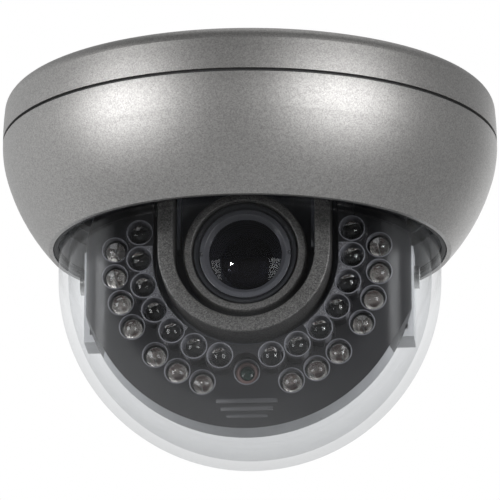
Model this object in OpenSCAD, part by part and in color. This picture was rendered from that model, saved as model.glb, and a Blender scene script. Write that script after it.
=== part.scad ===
// Dome camera for a ceiling: a base, a twist-off cover with a clear dome, and inside it a
// module with a varifocal lens and two rows of infra-red LEDs that pans and tilts.
//
// The origin is the centre of the face that lies against the ceiling. +Z points up into the
// ceiling, so the camera hangs below the origin, and the lens looks along -Y.

/* [Housing] */
// Largest diameter of the housing, at the seam between base and cover
housing_d = 128; // [126:0.5:160]
// Height of the base, from the ceiling to the seam
base_h = 11.5; // [11:0.5:18]
// Height of the cover, from the seam to the rim around the dome
cover_h = 28.1; // [27:0.1:40]
// Width of the dark seam between base and cover
seam_gap = 0.9; // [0.3:0.1:1]
// Thickness of the base plate that lies against the ceiling
plate_t = 3; // [2.5:0.1:4]
// Wall of the base and of the cover
housing_wall = 2.6; // [2:0.1:3.2]
// Radius of the rounded edge next to the ceiling
edge_r = 3.8; // [2:0.1:6]
// Radius of the slow curve of the base's side
bulge_r = 75; // [50:1:120]
// Radius of the cover's shoulder
shoulder_r = 29; // [20:0.5:34]
// Slope at the end of the shoulder, from the vertical
shoulder_angle = 16.5; // [12:0.5:20]
// Flat width of the lip around the dome
lip_w = 1.15; // [0.8:0.05:2]

/* [Dome] */
// Outer diameter of the clear dome
dome_d = 98.5; // [96:0.1:100]
// Wall of the dome
dome_wall = 2.5; // [1.5:0.1:3]
// How far the centre of the dome's sphere lies below the rim
dome_drop = 7.4; // [6:0.1:12]
// Thickness of the dome's flange
flange_t = 2; // [1.5:0.1:3]
// Height of the flange's seat above the rim
seat_h = 9; // [7:0.1:10]
// Width of the seat beyond the dome's wall
seat_w = 5.2; // [4.6:0.1:5.4]
// Radial width of the dark gasket between rim and dome
gasket_w = 1.5; // [1:0.1:2]
// Height of that gasket
gasket_h = 2; // [1.2:0.1:3]
// Thickness of the ring that holds the dome in the cover
dome_ring_t = 1.8; // [1.4:0.1:3]
// Number of screws in that ring
dome_screws = 6; // [4:1:8]

/* [Twist lock] */
// Half angle of each hook on the base
hook_angle = 7; // [5:0.5:9]
// Half angle of each lug in the cover
lug_angle = 6; // [4:0.5:8]
// How far the hooks stand out from their ring
hook_reach = 2.2; // [1.5:0.1:3]
// Thickness of hooks and lugs
hook_t = 2; // [1.5:0.1:2.5]
// Radius of the lock screw at the back of the cover
lock_screw_r = 1.5; // [1:0.1:2]

/* [Ceiling fixing] */
// Diameter of the circle of ceiling screws
fixing_pcd = 102; // [98:1:104]
// Radius of each ceiling screw hole
fixing_hole_r = 2.25; // [1.5:0.05:2.5]
// Number of ceiling screw holes
fixing_holes = 4; // [3:1:6]
// Radius of the cable's way through the rubber grommet
cable_bore_r = 6.5; // [4:0.1:7]

/* [Pan] */
// Radius of the hub that the pan platform turns on
hub_r = 17; // [15:0.5:20]
// Thickness of the pan platform
platform_t = 2.5; // [2:0.1:4]
// Radius of the pan platform
platform_r = 45.5; // [43:0.5:46]
// Thickness of each yoke arm
arm_t = 2; // [1.5:0.1:2.2]
// Half width of a yoke arm at its pivot
arm_half_w = 4.2; // [3:0.1:4.4]
// Half width of a yoke arm at its foot
foot_half_w = 12; // [9:0.5:14]
// Distance from the middle to the inner side of a yoke arm
arm_x = 38.5; // [38.3:0.1:38.8]

/* [Module] */
// How far the tilt axis lies below the rim
pivot_drop = 7.7; // [6:0.1:9]
// Radius of the ball that the tilting module stays inside
module_r = 43.2; // [42.5:0.1:45]
// Height of the lens axis above the tilt axis
lens_rise = 2.4; // [1.5:0.1:3]
// Distance from the tilt axis to the front of the face plate
face_front = 10.8; // [10:0.1:12]
// Depth of the face plate, front to back
face_depth = 5.8; // [5:0.1:6.2]
// Wall of the face plate
face_wall = 2.5; // [1.5:0.1:3]
// Half width of the face plate
face_half_w = 42; // [41.5:0.1:43]
// Radius of the rounded sides of the face plate
face_side_r = 7.5; // [5:0.1:8]
// Height of the face plate above the tilt axis
face_top = 20; // [18:0.5:22]
// Radius of the pivot screws' shanks
pivot_r = 1.5; // [1:0.1:2]
// Thickness of the tilt bracket
bracket_t = 2; // [1.5:0.1:2.4]
// Thickness of the bracket's ears
ear_t = 1.5; // [1.2:0.1:1.7]
// How far the ears reach below the tilt axis
ear_drop = 17; // [14:0.5:17]

/* [LEDs] */
// Diameter of an LED
led_d = 5; // [4:0.1:5.2]
// Diameter of the hole around each LED
led_hole_d = 6.4; // [5.8:0.1:6.5]
// Radius of the inner row
inner_row_r = 27.1; // [27:0.1:28]
// Radius of the outer row
outer_row_r = 34; // [33.8:0.1:34.6]
// Length of an LED above its board
led_h = 8.6; // [8:0.1:9]
// How far the inner row of LEDs stands in front of the outer row
inner_lift = 4.5; // [3:0.1:5]
// Thickness of the circuit boards
board_t = 1.6; // [1:0.1:1.6]
// Distance of the light sensor below the lens axis
sensor_drop = 29.6; // [29:0.1:31]

/* [Light shield] */
// Inner radius of the U-shaped shield
shield_inner_r = 18; // [17.5:0.1:18.5]
// Wall of the shield
shield_wall = 4; // [3:0.1:4]
// Width of the open groove around the shield
groove_w = 1.6; // [1.4:0.1:1.8]
// Distance from the tilt axis to the shield's front
shield_front = 22; // [19:0.1:24]
// Height of the shield above the lens axis
shield_top = 24; // [20:0.5:26]

/* [Lens] */
// Outer radius of the bezel around the lens
bezel_r = 15.8; // [15:0.1:16.5]
// Distance from the tilt axis to the bezel's front
bezel_front = 18.4; // [17:0.1:20]
// Outer radius of the lens barrel
barrel_r = 13.2; // [12.5:0.1:13.4]
// Distance from the tilt axis to the barrel's front
barrel_front = 17.6; // [16:0.1:18]
// Radius of the visible glass
glass_r = 9.3; // [8:0.1:9.6]
// Radius of the tube that the two rings turn on
tube_r = 11; // [10.4:0.1:11.4]
// Outer radius of the focus ring and of the zoom ring
ring_r = 14.5; // [14:0.1:15]
// Width of the focus ring and of the zoom ring
ring_w = 4; // [3:0.1:4.5]
// How far a ring's lock lever stands out from it
lever_h = 5; // [3:0.1:5.2]

/* [Electronics] */
// Side of the square sensor board and main board
board_side = 38; // [34:0.5:38]
// Distance from the middle to each board screw, sideways and up
board_screw_x = 16.5; // [15.5:0.1:16.5]
// Distance from the tilt axis back to the sensor board
sensor_board_back = 19; // [19:0.1:20]
// Gap between the two boards
board_gap = 5; // [4:0.1:6]

/* [Fits] */
// Radial clearance of a running fit
run_clear = 0.05; // [0.02:0.01:0.1]
// Gap between pieces that move past each other
move_gap = 0.4; // [0.3:0.05:0.6]
// Gap around pieces that drop into each other
drop_gap = 0.3; // [0.1:0.05:0.4]

/* [Hidden] */
$fn = 96;
// How far a cutting solid runs past what it cuts
cut = 1;
// How far joined blocks reach into each other
overlap = 0.2;

// Heights of the housing
housing_r = housing_d / 2;
cover_top = -(base_h + seam_gap);
rim_z = cover_top - cover_h;
seat_z = rim_z + seat_h;
pivot_z = rim_z - pivot_drop;
dome_z = rim_z - dome_drop;

// Radii around the dome
dome_r = dome_d / 2;
rim_r = dome_r + gasket_w;
land_r = dome_r + drop_gap;
flange_r = land_r + seat_w - drop_gap;
dome_screw_r = land_r + seat_w / 2;
dome_screw_shank_r = 1;
dome_screw_head_r = 1.9;
gasket_lift = 0.2;
seam_gasket_sink = 0.7;

// The cover's outer curve: a shoulder arc, then a flank arc that meets it tangentially
shoulder_start = cover_top - 0.4;
shoulder_centre = [housing_r - shoulder_r, shoulder_start];
slope = [cos(shoulder_angle), -sin(shoulder_angle)];
shoulder_end = shoulder_centre + shoulder_r * slope;
lip_corner = [rim_r + lip_w, rim_z];
flank_chord = lip_corner - shoulder_end;
flank_r = (flank_chord * flank_chord) / (-2 * flank_chord * slope);
flank_centre = shoulder_end - flank_r * slope;

// The base's outer curve: a slow bulge, then a rounded edge
bulge_centre = [housing_r - bulge_r, -base_h];
edge_rise = base_h - edge_r;
edge_x = bulge_centre.x + sqrt(pow(bulge_r - edge_r, 2) - pow(edge_rise, 2));
edge_z = -base_h + edge_rise * bulge_r / (bulge_r - edge_r);

// Twist lock: a ring on the base carries hooks, the cover's lugs lie on them
hook_ring_r = housing_r - housing_wall - move_gap - hook_reach - 0.8;
hook_ring_wall = 2;
hook_r = hook_ring_r + hook_reach;
hook_top = cover_top - 3.9;
hook_ring_z = hook_top - hook_t - 0.5;
lug_inner_r = hook_ring_r + move_gap;
lug_bottom = hook_top + move_gap;
lug_root_r = housing_r - housing_wall + 0.6;
hook_places = [30, 150, 270];
lock_z = lug_bottom + hook_t / 2;
hook_root_r = hook_ring_r - 0.5;
stop_block_r = hook_r - 0.3;
stop_block_angle = 2;
lock_boss_angle = 4;
lock_boss_r = lug_inner_r + 0.6;
lock_boss_half_h = 2.4;
lock_screw_sink = 0.6;
hex_r = 0.9;
hex_depth = 1.5;
screw_bite = 3;

// Ribs between the ceiling screws
rib_w = 1.6;
rib_h = 4;
rib_inner_r = platform_r + 1.5;
rib_places = [for (i = [0:7]) 22.5 + 45 * i];

// Pan stack, from the plate downwards
land_t = 2;
land_w = 7;
platform_top = -plate_t - land_t;
platform_z = platform_top - platform_t;
washer_t = 0.6;
hub_end = platform_z - washer_t;
hub_bore_r = 12;
retainer_t = 1.8;
retainer_r = hub_r + 5;
retainer_screw_r = (hub_r + hub_bore_r) / 2;
retainer_screws = 3;
retainer_screw_start = 30;
retainer_screw_depth = 5;
small_screw_r = 1;
small_head_r = 1.9;
small_head_h = 1.4;
screw_hole_r = small_screw_r + 0.2;
dome_screw_hole_r = dome_screw_shank_r + 0.2;
dome_screw_depth = 3.5;
stop_h = land_t - move_gap;
stop_inner_r = platform_r - 9;
stop_outer_r = platform_r - 5;
stop_angle = 3;

// Grommet in the middle of the plate
plate_hole_r = cable_bore_r + 3;
grommet_lip_r = plate_hole_r + 1.6;
grommet_lip_t = 1.2;
grommet_gap = 0.1;

// Yoke
arm_outer_x = arm_x + arm_t;
foot_t = 2;
foot_in = 8;
neck_top = pivot_z + face_top + 5;
flare_top = neck_top + 9;
foot_screw_y = foot_half_w - 4;

// Face plate
face_back = face_front - face_depth;
cavity_front = face_front - face_wall;
cavity_half_w = face_half_w - 2;
cavity_side_r = face_side_r - 2;
cavity_ball_r = module_r - 2.2;
slot_r = shield_inner_r + shield_wall + groove_w;
led_tip = face_front + 0.2;
board_front = led_tip - led_h;
board_back = board_front - board_t;
led_board_r = 39.5;
led_board_half_w = arm_x - 1;
led_board_hole_r = shield_inner_r;
bracket_front = board_back - 1.6;
bracket_back = bracket_front - bracket_t;
bracket_ring_r = 27;
bracket_hole_r = 15;
ear_x = arm_outer_x + drop_gap;
ear_front = face_back;
ear_back = -6;
ear_top = 7;
bar_top = -arm_half_w - 1.8;
boss_r = 2.6;
boss_x = 31.5;
boss_rise = 13;
low_boss_x = 5;
low_boss_drop = 36;
boss_places = [
    [-boss_x, boss_rise], [boss_x, boss_rise],
    [-low_boss_x, -low_boss_drop], [low_boss_x, -low_boss_drop]
];
boss_screw_depth = 4.5;
tongue_half_w = low_boss_x + 3;
tongue_drop = low_boss_drop + 3;
upper_bar_half_w = boss_x + 3;
upper_bar_h = 7;
ear_foot_w = 3.5;
ear_foot_t = 2;
pivot_head_r = 3;
pivot_end = 0.6;

// LEDs: angles below the lens axis on each side
inner_angles = [for (i = [0:5]) 1 + 15 * i];
outer_angles = concat([for (i = [0:3]) -5.7 + 12 * i], [for (i = [0:2]) 46.5 + 12 * i]);
top_led_rise = 6.6;
lead_w = 0.5;
lead_x = 1.27;
collar_front = led_tip + inner_lift - 0.2;
collar_wall = 0.7;
collar_r = led_hole_d / 2 + collar_wall;
collar_band_r = inner_row_r + 0.4;
led_flange_r = led_d / 2 + 0.4;
led_flange_t = 1;

// Lens, as distances in front of the tilt axis
shield_floor_back = 8.4;
shield_floor_front = 10.2;
bezel_bore_r = barrel_r + drop_gap;
focus_front = bracket_back - 0.9;
focus_back = focus_front - ring_w;
zoom_front = focus_back - 0.8;
zoom_back = zoom_front - ring_w;
rear_front = zoom_back - drop_gap;
rear_back = rear_front - 2.6;
rear_r = 12.4;
glass_front = barrel_front - 2.4;
glass_t = 3;
glass_back = glass_front - glass_t;
glass_edge_r = glass_r + 0.5;
glass_lip = 0.6;
retaining_w = 2.4;
retaining_sink = 0.6;
retaining_edge = 0.5;
optic_bore_r = 7;
iris_hole_r = 2.5;
iris_back = 3;
iris_t = 0.8;
lever_r = 1.5;
lever_foot_r = lever_r - 0.5;
lever_turn = 25;
knob_r = 2;
knob_h = 2.6;
spigot_r = 8.6;
mount_tube_r = spigot_r + 2;
mount_side = 25;
mount_t = 2;
mount_screw_x = 10.2;
sensor_side = 9;
sensor_t = 1;
spigot_end = -sensor_board_back + sensor_t + 0.2;

// Screws through the two boards
main_board_front = -sensor_board_back - board_t - board_gap;
standoff_r = 2.4;
board_screw_bite = 5;

// Plugs on the back of the main board: place, width
plug_h = 4;
plug_depth = 3.4;
plug_wall = 0.5;
plugs = [[0, 12, 12], [8, -11, 7], [-8, -11, 7]];

// ---- Shared shapes ----

// A quarter disc in the first quadrant
module quarter(r) {
    intersection() {
        circle(r);
        square(r + cut);
    }
}

// A ring or disc between two heights
module ring(r_outer, r_inner, z_low, z_high) {
    translate([0, 0, z_low])
        difference() {
            cylinder(r = r_outer, h = z_high - z_low);
            if (r_inner > 0)
                translate([0, 0, -cut]) cylinder(r = r_inner, h = z_high - z_low + 2 * cut);
        }
}

// A block that follows an arc about the Z axis
module arc_block(r_inner, r_outer, z_low, z_high, from, to) {
    rotate([0, 0, from])
        rotate_extrude(angle = to - from)
            translate([r_inner, z_low]) square([r_outer - r_inner, z_high - z_low]);
}

// Copies round the Z axis
module around(count, r, start = 0) {
    for (i = [0:count - 1])
        rotate([0, 0, start + i * 360 / count]) translate([r, 0, 0]) children();
}

// A cross-recess screw. Its head rests on z = 0 and its shank points along -z.
module screw(head_r, head_h, shank_r, length) {
    recess_w = head_r * 0.28;
    difference() {
        union() {
            cylinder(r = head_r, h = head_h);
            translate([0, 0, -length]) cylinder(r = shank_r, h = length);
        }
        for (turn = [0, 90])
            rotate([0, 0, turn])
                translate([-head_r * 0.62, -recess_w / 2, head_h * 0.45])
                    cube([head_r * 1.24, recess_w, head_h]);
    }
}

// The tilting module's own frame: x to the right, y up, z forward out of the lens
module in_module() {
    translate([0, 0, pivot_z]) rotate([90, 0, 0]) children();
}

// The lens's own frame: as the module's, but with its origin on the lens axis
module at_lens() {
    in_module() translate([0, lens_rise, 0]) children();
}

// The ball that keeps the tilting module clear of the dome
module clearance_ball(r = module_r) {
    sphere(r);
}

// ---- Housing ----

module base_outline() {
    translate([0, -base_h]) square([edge_x, base_h]);
    intersection() {
        translate([edge_x, -edge_r]) circle(edge_r);
        translate([edge_x, edge_z]) square([edge_r + cut, cut - edge_z]);
    }
    intersection() {
        translate(bulge_centre) circle(bulge_r, $fn = 360);
        translate([edge_x, -base_h]) square([housing_r - edge_x + cut, edge_z + base_h]);
    }
}

module base_section() {
    difference() {
        base_outline();
        translate([0, -base_h - cut])
            square([housing_r - housing_wall, base_h - plate_t + cut]);
        translate([0, -plate_t - cut]) square([plate_hole_r, plate_t + 2 * cut]);
        translate([0, -grommet_lip_t]) square([grommet_lip_r, grommet_lip_t + cut]);
    }
    // Ring that carries the twist lock's hooks
    translate([hook_ring_r - hook_ring_wall, hook_ring_z])
        square([hook_ring_wall, -hook_ring_z - plate_t]);
    // Hub of the pan platform and the land that it turns against
    translate([hub_bore_r, hub_end]) square([hub_r - hub_bore_r, -plate_t - hub_end]);
    translate([hub_r, platform_top]) square([land_w, land_t]);
}

module base_housing() {
    color("#5a5a5c")
        difference() {
            union() {
                rotate_extrude() base_section();
                for (place = hook_places) {
                    arc_block(hook_root_r, hook_r, hook_top - hook_t, hook_top,
                        place - hook_angle, place + hook_angle);
                    // End stop beside the hook
                    arc_block(hook_root_r, stop_block_r, hook_top - hook_t / 2,
                        hook_top + hook_t, place - hook_angle - stop_block_angle,
                        place - hook_angle + stop_block_angle / 4);
                }
                for (place = rib_places)
                    rotate([0, 0, place])
                        translate([rib_inner_r, -rib_w / 2, -plate_t - rib_h])
                            cube([hook_root_r - hook_ring_wall + 1 - rib_inner_r, rib_w, rib_h]);
                // Pan stop at the back
                arc_block(stop_inner_r, stop_outer_r, -plate_t - stop_h, -plate_t + overlap,
                    90 - stop_angle, 90 + stop_angle);
            }
            around(fixing_holes, fixing_pcd / 2, 45)
                translate([0, 0, -plate_t - cut])
                    cylinder(r = fixing_hole_r, h = plate_t + 2 * cut);
            around(retainer_screws, retainer_screw_r, retainer_screw_start)
                translate([0, 0, hub_end - cut])
                    cylinder(r = small_screw_r, h = retainer_screw_depth + cut);
        }
}

module seam_gasket() {
    color("#101010")
        ring(housing_r - seam_gasket_sink, housing_r - housing_wall, cover_top, -base_h);
}

module cable_grommet() {
    color("#151515")
        rotate_extrude() {
            translate([cable_bore_r, -plate_t - grommet_lip_t])
                square([plate_hole_r - cable_bore_r, plate_t + grommet_lip_t]);
            for (z = [-grommet_lip_t, -plate_t - grommet_lip_t])
                translate([cable_bore_r, z])
                    square([grommet_lip_r - cable_bore_r - grommet_gap, grommet_lip_t]);
        }
}

// The cover's outline from the axis outwards, moved in by `inset`
module cover_outline(inset, over = 0) {
    end = shoulder_end - inset * slope;
    arc_r = shoulder_r - inset;
    translate([0, shoulder_start])
        square([housing_r - inset, cover_top - shoulder_start + over]);
    translate([0, end.y]) square([shoulder_centre.x, shoulder_start - end.y]);
    intersection() {
        translate(shoulder_centre) circle(arc_r, $fn = 360);
        translate([shoulder_centre.x, end.y])
            square([shoulder_r + cut, shoulder_start - end.y]);
    }
    fill_x = max(flank_centre.x, cut);
    translate([0, rim_z]) square([fill_x, end.y - rim_z]);
    intersection() {
        translate(flank_centre) circle(flank_r - inset, $fn = 360);
        translate([fill_x, rim_z]) square([housing_r, end.y - rim_z]);
    }
}

module cover_section() {
    difference() {
        cover_outline(0);
        intersection() {
            cover_outline(housing_wall, cut);
            translate([0, seat_z]) square([housing_r, cover_top - seat_z + cut]);
        }
        translate([0, rim_z - cut]) square([land_r, cover_h + 2 * cut]);
        translate([0, rim_z - cut]) square([rim_r, gasket_lift + gasket_h + cut]);
    }
}

module cover_shell() {
    color("#6b6a6a")
        difference() {
            union() {
                rotate_extrude() cover_section();
                for (place = hook_places)
                    arc_block(lug_inner_r, lug_root_r, lug_bottom, lug_bottom + hook_t,
                        place - lug_angle, place + lug_angle);
                arc_block(lock_boss_r, lug_root_r, lock_z - lock_boss_half_h - overlap,
                    lock_z + lock_boss_half_h - overlap,
                    90 - lock_boss_angle, 90 + lock_boss_angle);
            }
            translate([0, 0, lock_z])
                rotate([-90, 0, 0]) cylinder(r = lock_screw_r, h = housing_r + cut);
            around(dome_screws, dome_screw_r)
                translate([0, 0, seat_z - dome_screw_depth])
                    cylinder(r = dome_screw_shank_r, h = dome_screw_depth + cut);
        }
}

module dome_bubble() {
    inner_r = dome_r - dome_wall;
    color([0.9, 0.92, 0.95, 0.25])
        difference() {
            rotate_extrude() {
                translate([0, dome_z])
                    difference() {
                        mirror([0, 1]) quarter(dome_r);
                        circle(inner_r);
                    }
                translate([inner_r, dome_z])
                    square([dome_wall, seat_z + flange_t - dome_z]);
                translate([inner_r, seat_z]) square([flange_r - inner_r, flange_t]);
            }
            around(dome_screws, dome_screw_r)
                translate([0, 0, seat_z - cut])
                    cylinder(r = dome_screw_hole_r, h = flange_t + 2 * cut);
        }
}

module dome_gasket() {
    low = rim_z + gasket_lift;
    color("#0c0c0c") ring(rim_r, dome_r, low, low + gasket_h);
}

module dome_retaining_ring() {
    z = seat_z + flange_t;
    color("#b4b5b8")
        difference() {
            ring(flange_r, dome_r - dome_wall, z, z + dome_ring_t);
            around(dome_screws, dome_screw_r)
                translate([0, 0, z - cut])
                    cylinder(r = dome_screw_hole_r, h = dome_ring_t + 2 * cut);
        }
}

module dome_ring_screws() {
    color("silver")
        around(dome_screws, dome_screw_r)
            translate([0, 0, seat_z + flange_t + dome_ring_t])
                screw(dome_screw_head_r, small_head_h, dome_screw_shank_r,
                    flange_t + dome_ring_t + screw_bite);
}

module cover_lock_screw() {
    length = housing_r - lock_screw_sink - hook_ring_r - move_gap;
    color("#3a3a3a")
        translate([0, hook_ring_r + move_gap, lock_z])
            rotate([-90, 0, 0])
                difference() {
                    cylinder(r = lock_screw_r, h = length);
                    translate([0, 0, length - hex_depth])
                        cylinder(r = hex_r, h = hex_depth + cut, $fn = 6);
                }
}

// ---- Pan ----

module pan_washer() {
    color("#e8e4da") ring(retainer_r, hub_r + drop_gap, hub_end, platform_z);
}

module pan_retainer() {
    color("#c4c6c9")
        difference() {
            ring(retainer_r, hub_bore_r, hub_end - retainer_t, hub_end);
            around(retainer_screws, retainer_screw_r, retainer_screw_start)
                translate([0, 0, hub_end - retainer_t - cut])
                    cylinder(r = screw_hole_r, h = retainer_t + 2 * cut);
        }
}

module pan_retainer_screws() {
    color("silver")
        around(retainer_screws, retainer_screw_r, retainer_screw_start)
            translate([0, 0, hub_end - retainer_t])
                rotate([180, 0, 0])
                    screw(small_head_r, small_head_h, small_screw_r,
                        retainer_t + retainer_screw_depth - 0.5);
}

module pan_platform() {
    color("#2c2d30")
        difference() {
            union() {
                ring(platform_r, hub_r + run_clear, platform_z, platform_top);
                // Stop lug at the front
                arc_block(stop_inner_r, stop_outer_r, platform_top - overlap,
                    platform_top + stop_h, -90 - stop_angle, -90 + stop_angle);
            }
            for (side = [-1, 1], y = [-foot_screw_y, foot_screw_y])
                translate([side * (arm_x - foot_in / 2), y, platform_z - cut])
                    cylinder(r = small_screw_r, h = platform_t + 2 * cut);
        }
}

// Outline of a yoke arm, seen along X: x is the camera's Y, y is the camera's Z
module arm_outline() {
    top = platform_z;
    translate([0, pivot_z]) mirror([0, 1]) {
        quarter(arm_half_w);
        mirror([1, 0]) quarter(arm_half_w);
    }
    translate([-arm_half_w, pivot_z]) square([2 * arm_half_w, neck_top - pivot_z]);
    polygon([
        [-arm_half_w, neck_top], [arm_half_w, neck_top],
        [foot_half_w, flare_top], [foot_half_w, top],
        [-foot_half_w, top], [-foot_half_w, flare_top]
    ]);
}

module yoke_arm() {
    difference() {
        union() {
            translate([arm_x, 0, 0])
                rotate([90, 0, 90]) linear_extrude(arm_t) arm_outline();
            translate([arm_x - foot_in, -foot_half_w, platform_z - foot_t])
                cube([foot_in + arm_t, 2 * foot_half_w, foot_t]);
        }
        translate([arm_x - cut, 0, pivot_z])
            rotate([0, 90, 0]) cylinder(r = pivot_r + run_clear, h = arm_t + 2 * cut);
        for (y = [-foot_screw_y, foot_screw_y])
            translate([arm_x - foot_in / 2, y, platform_z - foot_t - cut])
                cylinder(r = screw_hole_r, h = foot_t + 2 * cut);
    }
}

module yoke_arm_left() {
    color("#a9abb0") mirror([1, 0, 0]) yoke_arm();
}

module yoke_arm_right() {
    color("#a9abb0") yoke_arm();
}

module yoke_screws() {
    color("silver")
        for (side = [-1, 1], y = [-foot_screw_y, foot_screw_y])
            translate([side * (arm_x - foot_in / 2), y, platform_z - foot_t])
                rotate([180, 0, 0])
                    screw(small_head_r, small_head_h, small_screw_r,
                        foot_t + platform_t - drop_gap);
}

// ---- Face of the module ----

// Cross-section of the face plate seen from above, with rounded sides
module face_profile(half_w, side_r, front, back) {
    flat_w = half_w - side_r;
    side_z = max(front - side_r, back);
    translate([-flat_w, back]) square([2 * flat_w, front - back]);
    for (side = [0, 1])
        mirror([side, 0]) {
            if (side_z > back)
                translate([flat_w, back]) square([side_r, side_z - back]);
            intersection() {
                translate([flat_w, front - side_r]) quarter(side_r);
                translate([flat_w, back]) square([side_r + cut, front - back + cut]);
            }
        }
}

// A solid with that cross-section between two heights, kept inside a ball
module face_block(half_w, side_r, front, back, top, ball_r) {
    intersection() {
        translate([0, top, 0])
            rotate([90, 0, 0])
                linear_extrude(top + ball_r) face_profile(half_w, side_r, front, back);
        clearance_ball(ball_r);
    }
}

// Places the children at each LED of a row
module at_leds(row_r, angles) {
    for (side = [-1, 1], angle = angles)
        translate([side * row_r * cos(angle), -row_r * sin(angle), 0]) children();
}

module at_inner_leds() {
    at_leds(inner_row_r, inner_angles) children();
    for (side = [-1, 1])
        translate([side * inner_row_r, top_led_rise, 0]) children();
}

module at_outer_leds() {
    at_leds(outer_row_r, outer_angles) children();
}

// A U that is round below the lens axis and runs straight up from it
module u_shape(r, top) {
    mirror([0, 1]) {
        quarter(r);
        mirror([1, 0]) quarter(r);
    }
    translate([-r, 0]) square([2 * r, top]);
}

module led_hole() {
    translate([0, 0, cavity_front - cut])
        cylinder(d = led_hole_d, h = collar_front - cavity_front + 2 * cut);
}

// Raised collar round the inner LEDs: a U-shaped band that widens round each of them
module led_collar() {
    translate([0, 0, face_front - overlap])
        linear_extrude(collar_front - face_front + overlap)
            difference() {
                union() {
                    u_shape(collar_band_r, face_top - lens_rise);
                    at_inner_leds() circle(collar_r);
                }
                translate([0, -sensor_drop]) circle(collar_r);
                at_outer_leds() circle(collar_r);
            }
}

module face_plate() {
    color("#3b3c3f")
        in_module()
            difference() {
                union() {
                    difference() {
                        face_block(face_half_w, face_side_r, face_front, face_back,
                            face_top, module_r);
                        face_block(cavity_half_w, cavity_side_r, cavity_front,
                            face_back - cut, face_top - 2, cavity_ball_r);
                    }
                    for (place = boss_places)
                        translate([place.x, place.y, board_front])
                            cylinder(r = boss_r, h = cavity_front - board_front + 0.5);
                    translate([0, lens_rise, 0]) led_collar();
                }
                translate([0, lens_rise, 0]) {
                    translate([0, 0, face_back - cut])
                        linear_extrude(collar_front - face_back + 2 * cut)
                            u_shape(slot_r, face_top + cut);
                    at_inner_leds() led_hole();
                    at_outer_leds() led_hole();
                    translate([0, -sensor_drop, 0]) led_hole();
                }
                for (place = boss_places)
                    translate([place.x, place.y, board_front - cut])
                        cylinder(r = small_screw_r, h = boss_screw_depth + cut);
            }
}

module light_shield() {
    color("#4a4a4b")
        at_lens()
            difference() {
                union() {
                    translate([0, 0, shield_floor_back])
                        linear_extrude(shield_floor_front - shield_floor_back)
                            u_shape(slot_r - drop_gap, face_top);
                    translate([0, 0, shield_floor_front])
                        linear_extrude(shield_front - shield_floor_front)
                            difference() {
                                u_shape(shield_inner_r + shield_wall, shield_top);
                                u_shape(shield_inner_r, shield_top + cut);
                            }
                }
                translate([0, 0, shield_floor_back - cut])
                    cylinder(r = bezel_bore_r, h = shield_front);
            }
}

module lens_bezel() {
    color("#515152")
        at_lens() ring(bezel_r, bezel_bore_r, shield_floor_front, bezel_front);
}

module led_board() {
    color("#17301f")
        in_module()
            difference() {
                translate([0, 0, board_back])
                    linear_extrude(board_t)
                        intersection() {
                            circle(led_board_r);
                            translate([-led_board_half_w, -led_board_r])
                                square([2 * led_board_half_w, led_board_r + face_top - 3]);
                        }
                translate([0, lens_rise, board_back - cut])
                    linear_extrude(board_t + 2 * cut) u_shape(led_board_hole_r, face_top);
                for (place = boss_places)
                    translate([place.x, place.y, board_back - cut])
                        cylinder(r = screw_hole_r, h = board_t + 2 * cut);
            }
}

// An LED that stands `lift` above its board on two leads
module led(lift) {
    dome_centre = led_h - led_d / 2;
    translate([0, 0, lift])
        rotate_extrude() {
            square([led_d / 2, dome_centre]);
            square([led_flange_r, led_flange_t]);
            translate([0, dome_centre]) quarter(led_d / 2);
        }
    if (lift > 0)
        for (side = [-1, 1])
            translate([side * lead_x - lead_w / 2, -lead_w / 2, 0])
                cube([lead_w, lead_w, lift + overlap]);
}

module leds_inner_row() {
    color([0.85, 0.85, 0.88, 0.6])
        at_lens() translate([0, 0, board_front]) at_inner_leds() led(inner_lift);
}

module leds_outer_row() {
    color([0.85, 0.85, 0.88, 0.6])
        at_lens() translate([0, 0, board_front]) at_outer_leds() led(0);
}

module light_sensor() {
    body_h = face_front - 1.2 - board_front;
    color("#5b3a30")
        at_lens()
            translate([0, -sensor_drop, board_front])
                rotate_extrude() {
                    square([led_d / 2, body_h]);
                    square([led_flange_r, led_flange_t]);
                }
}

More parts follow.
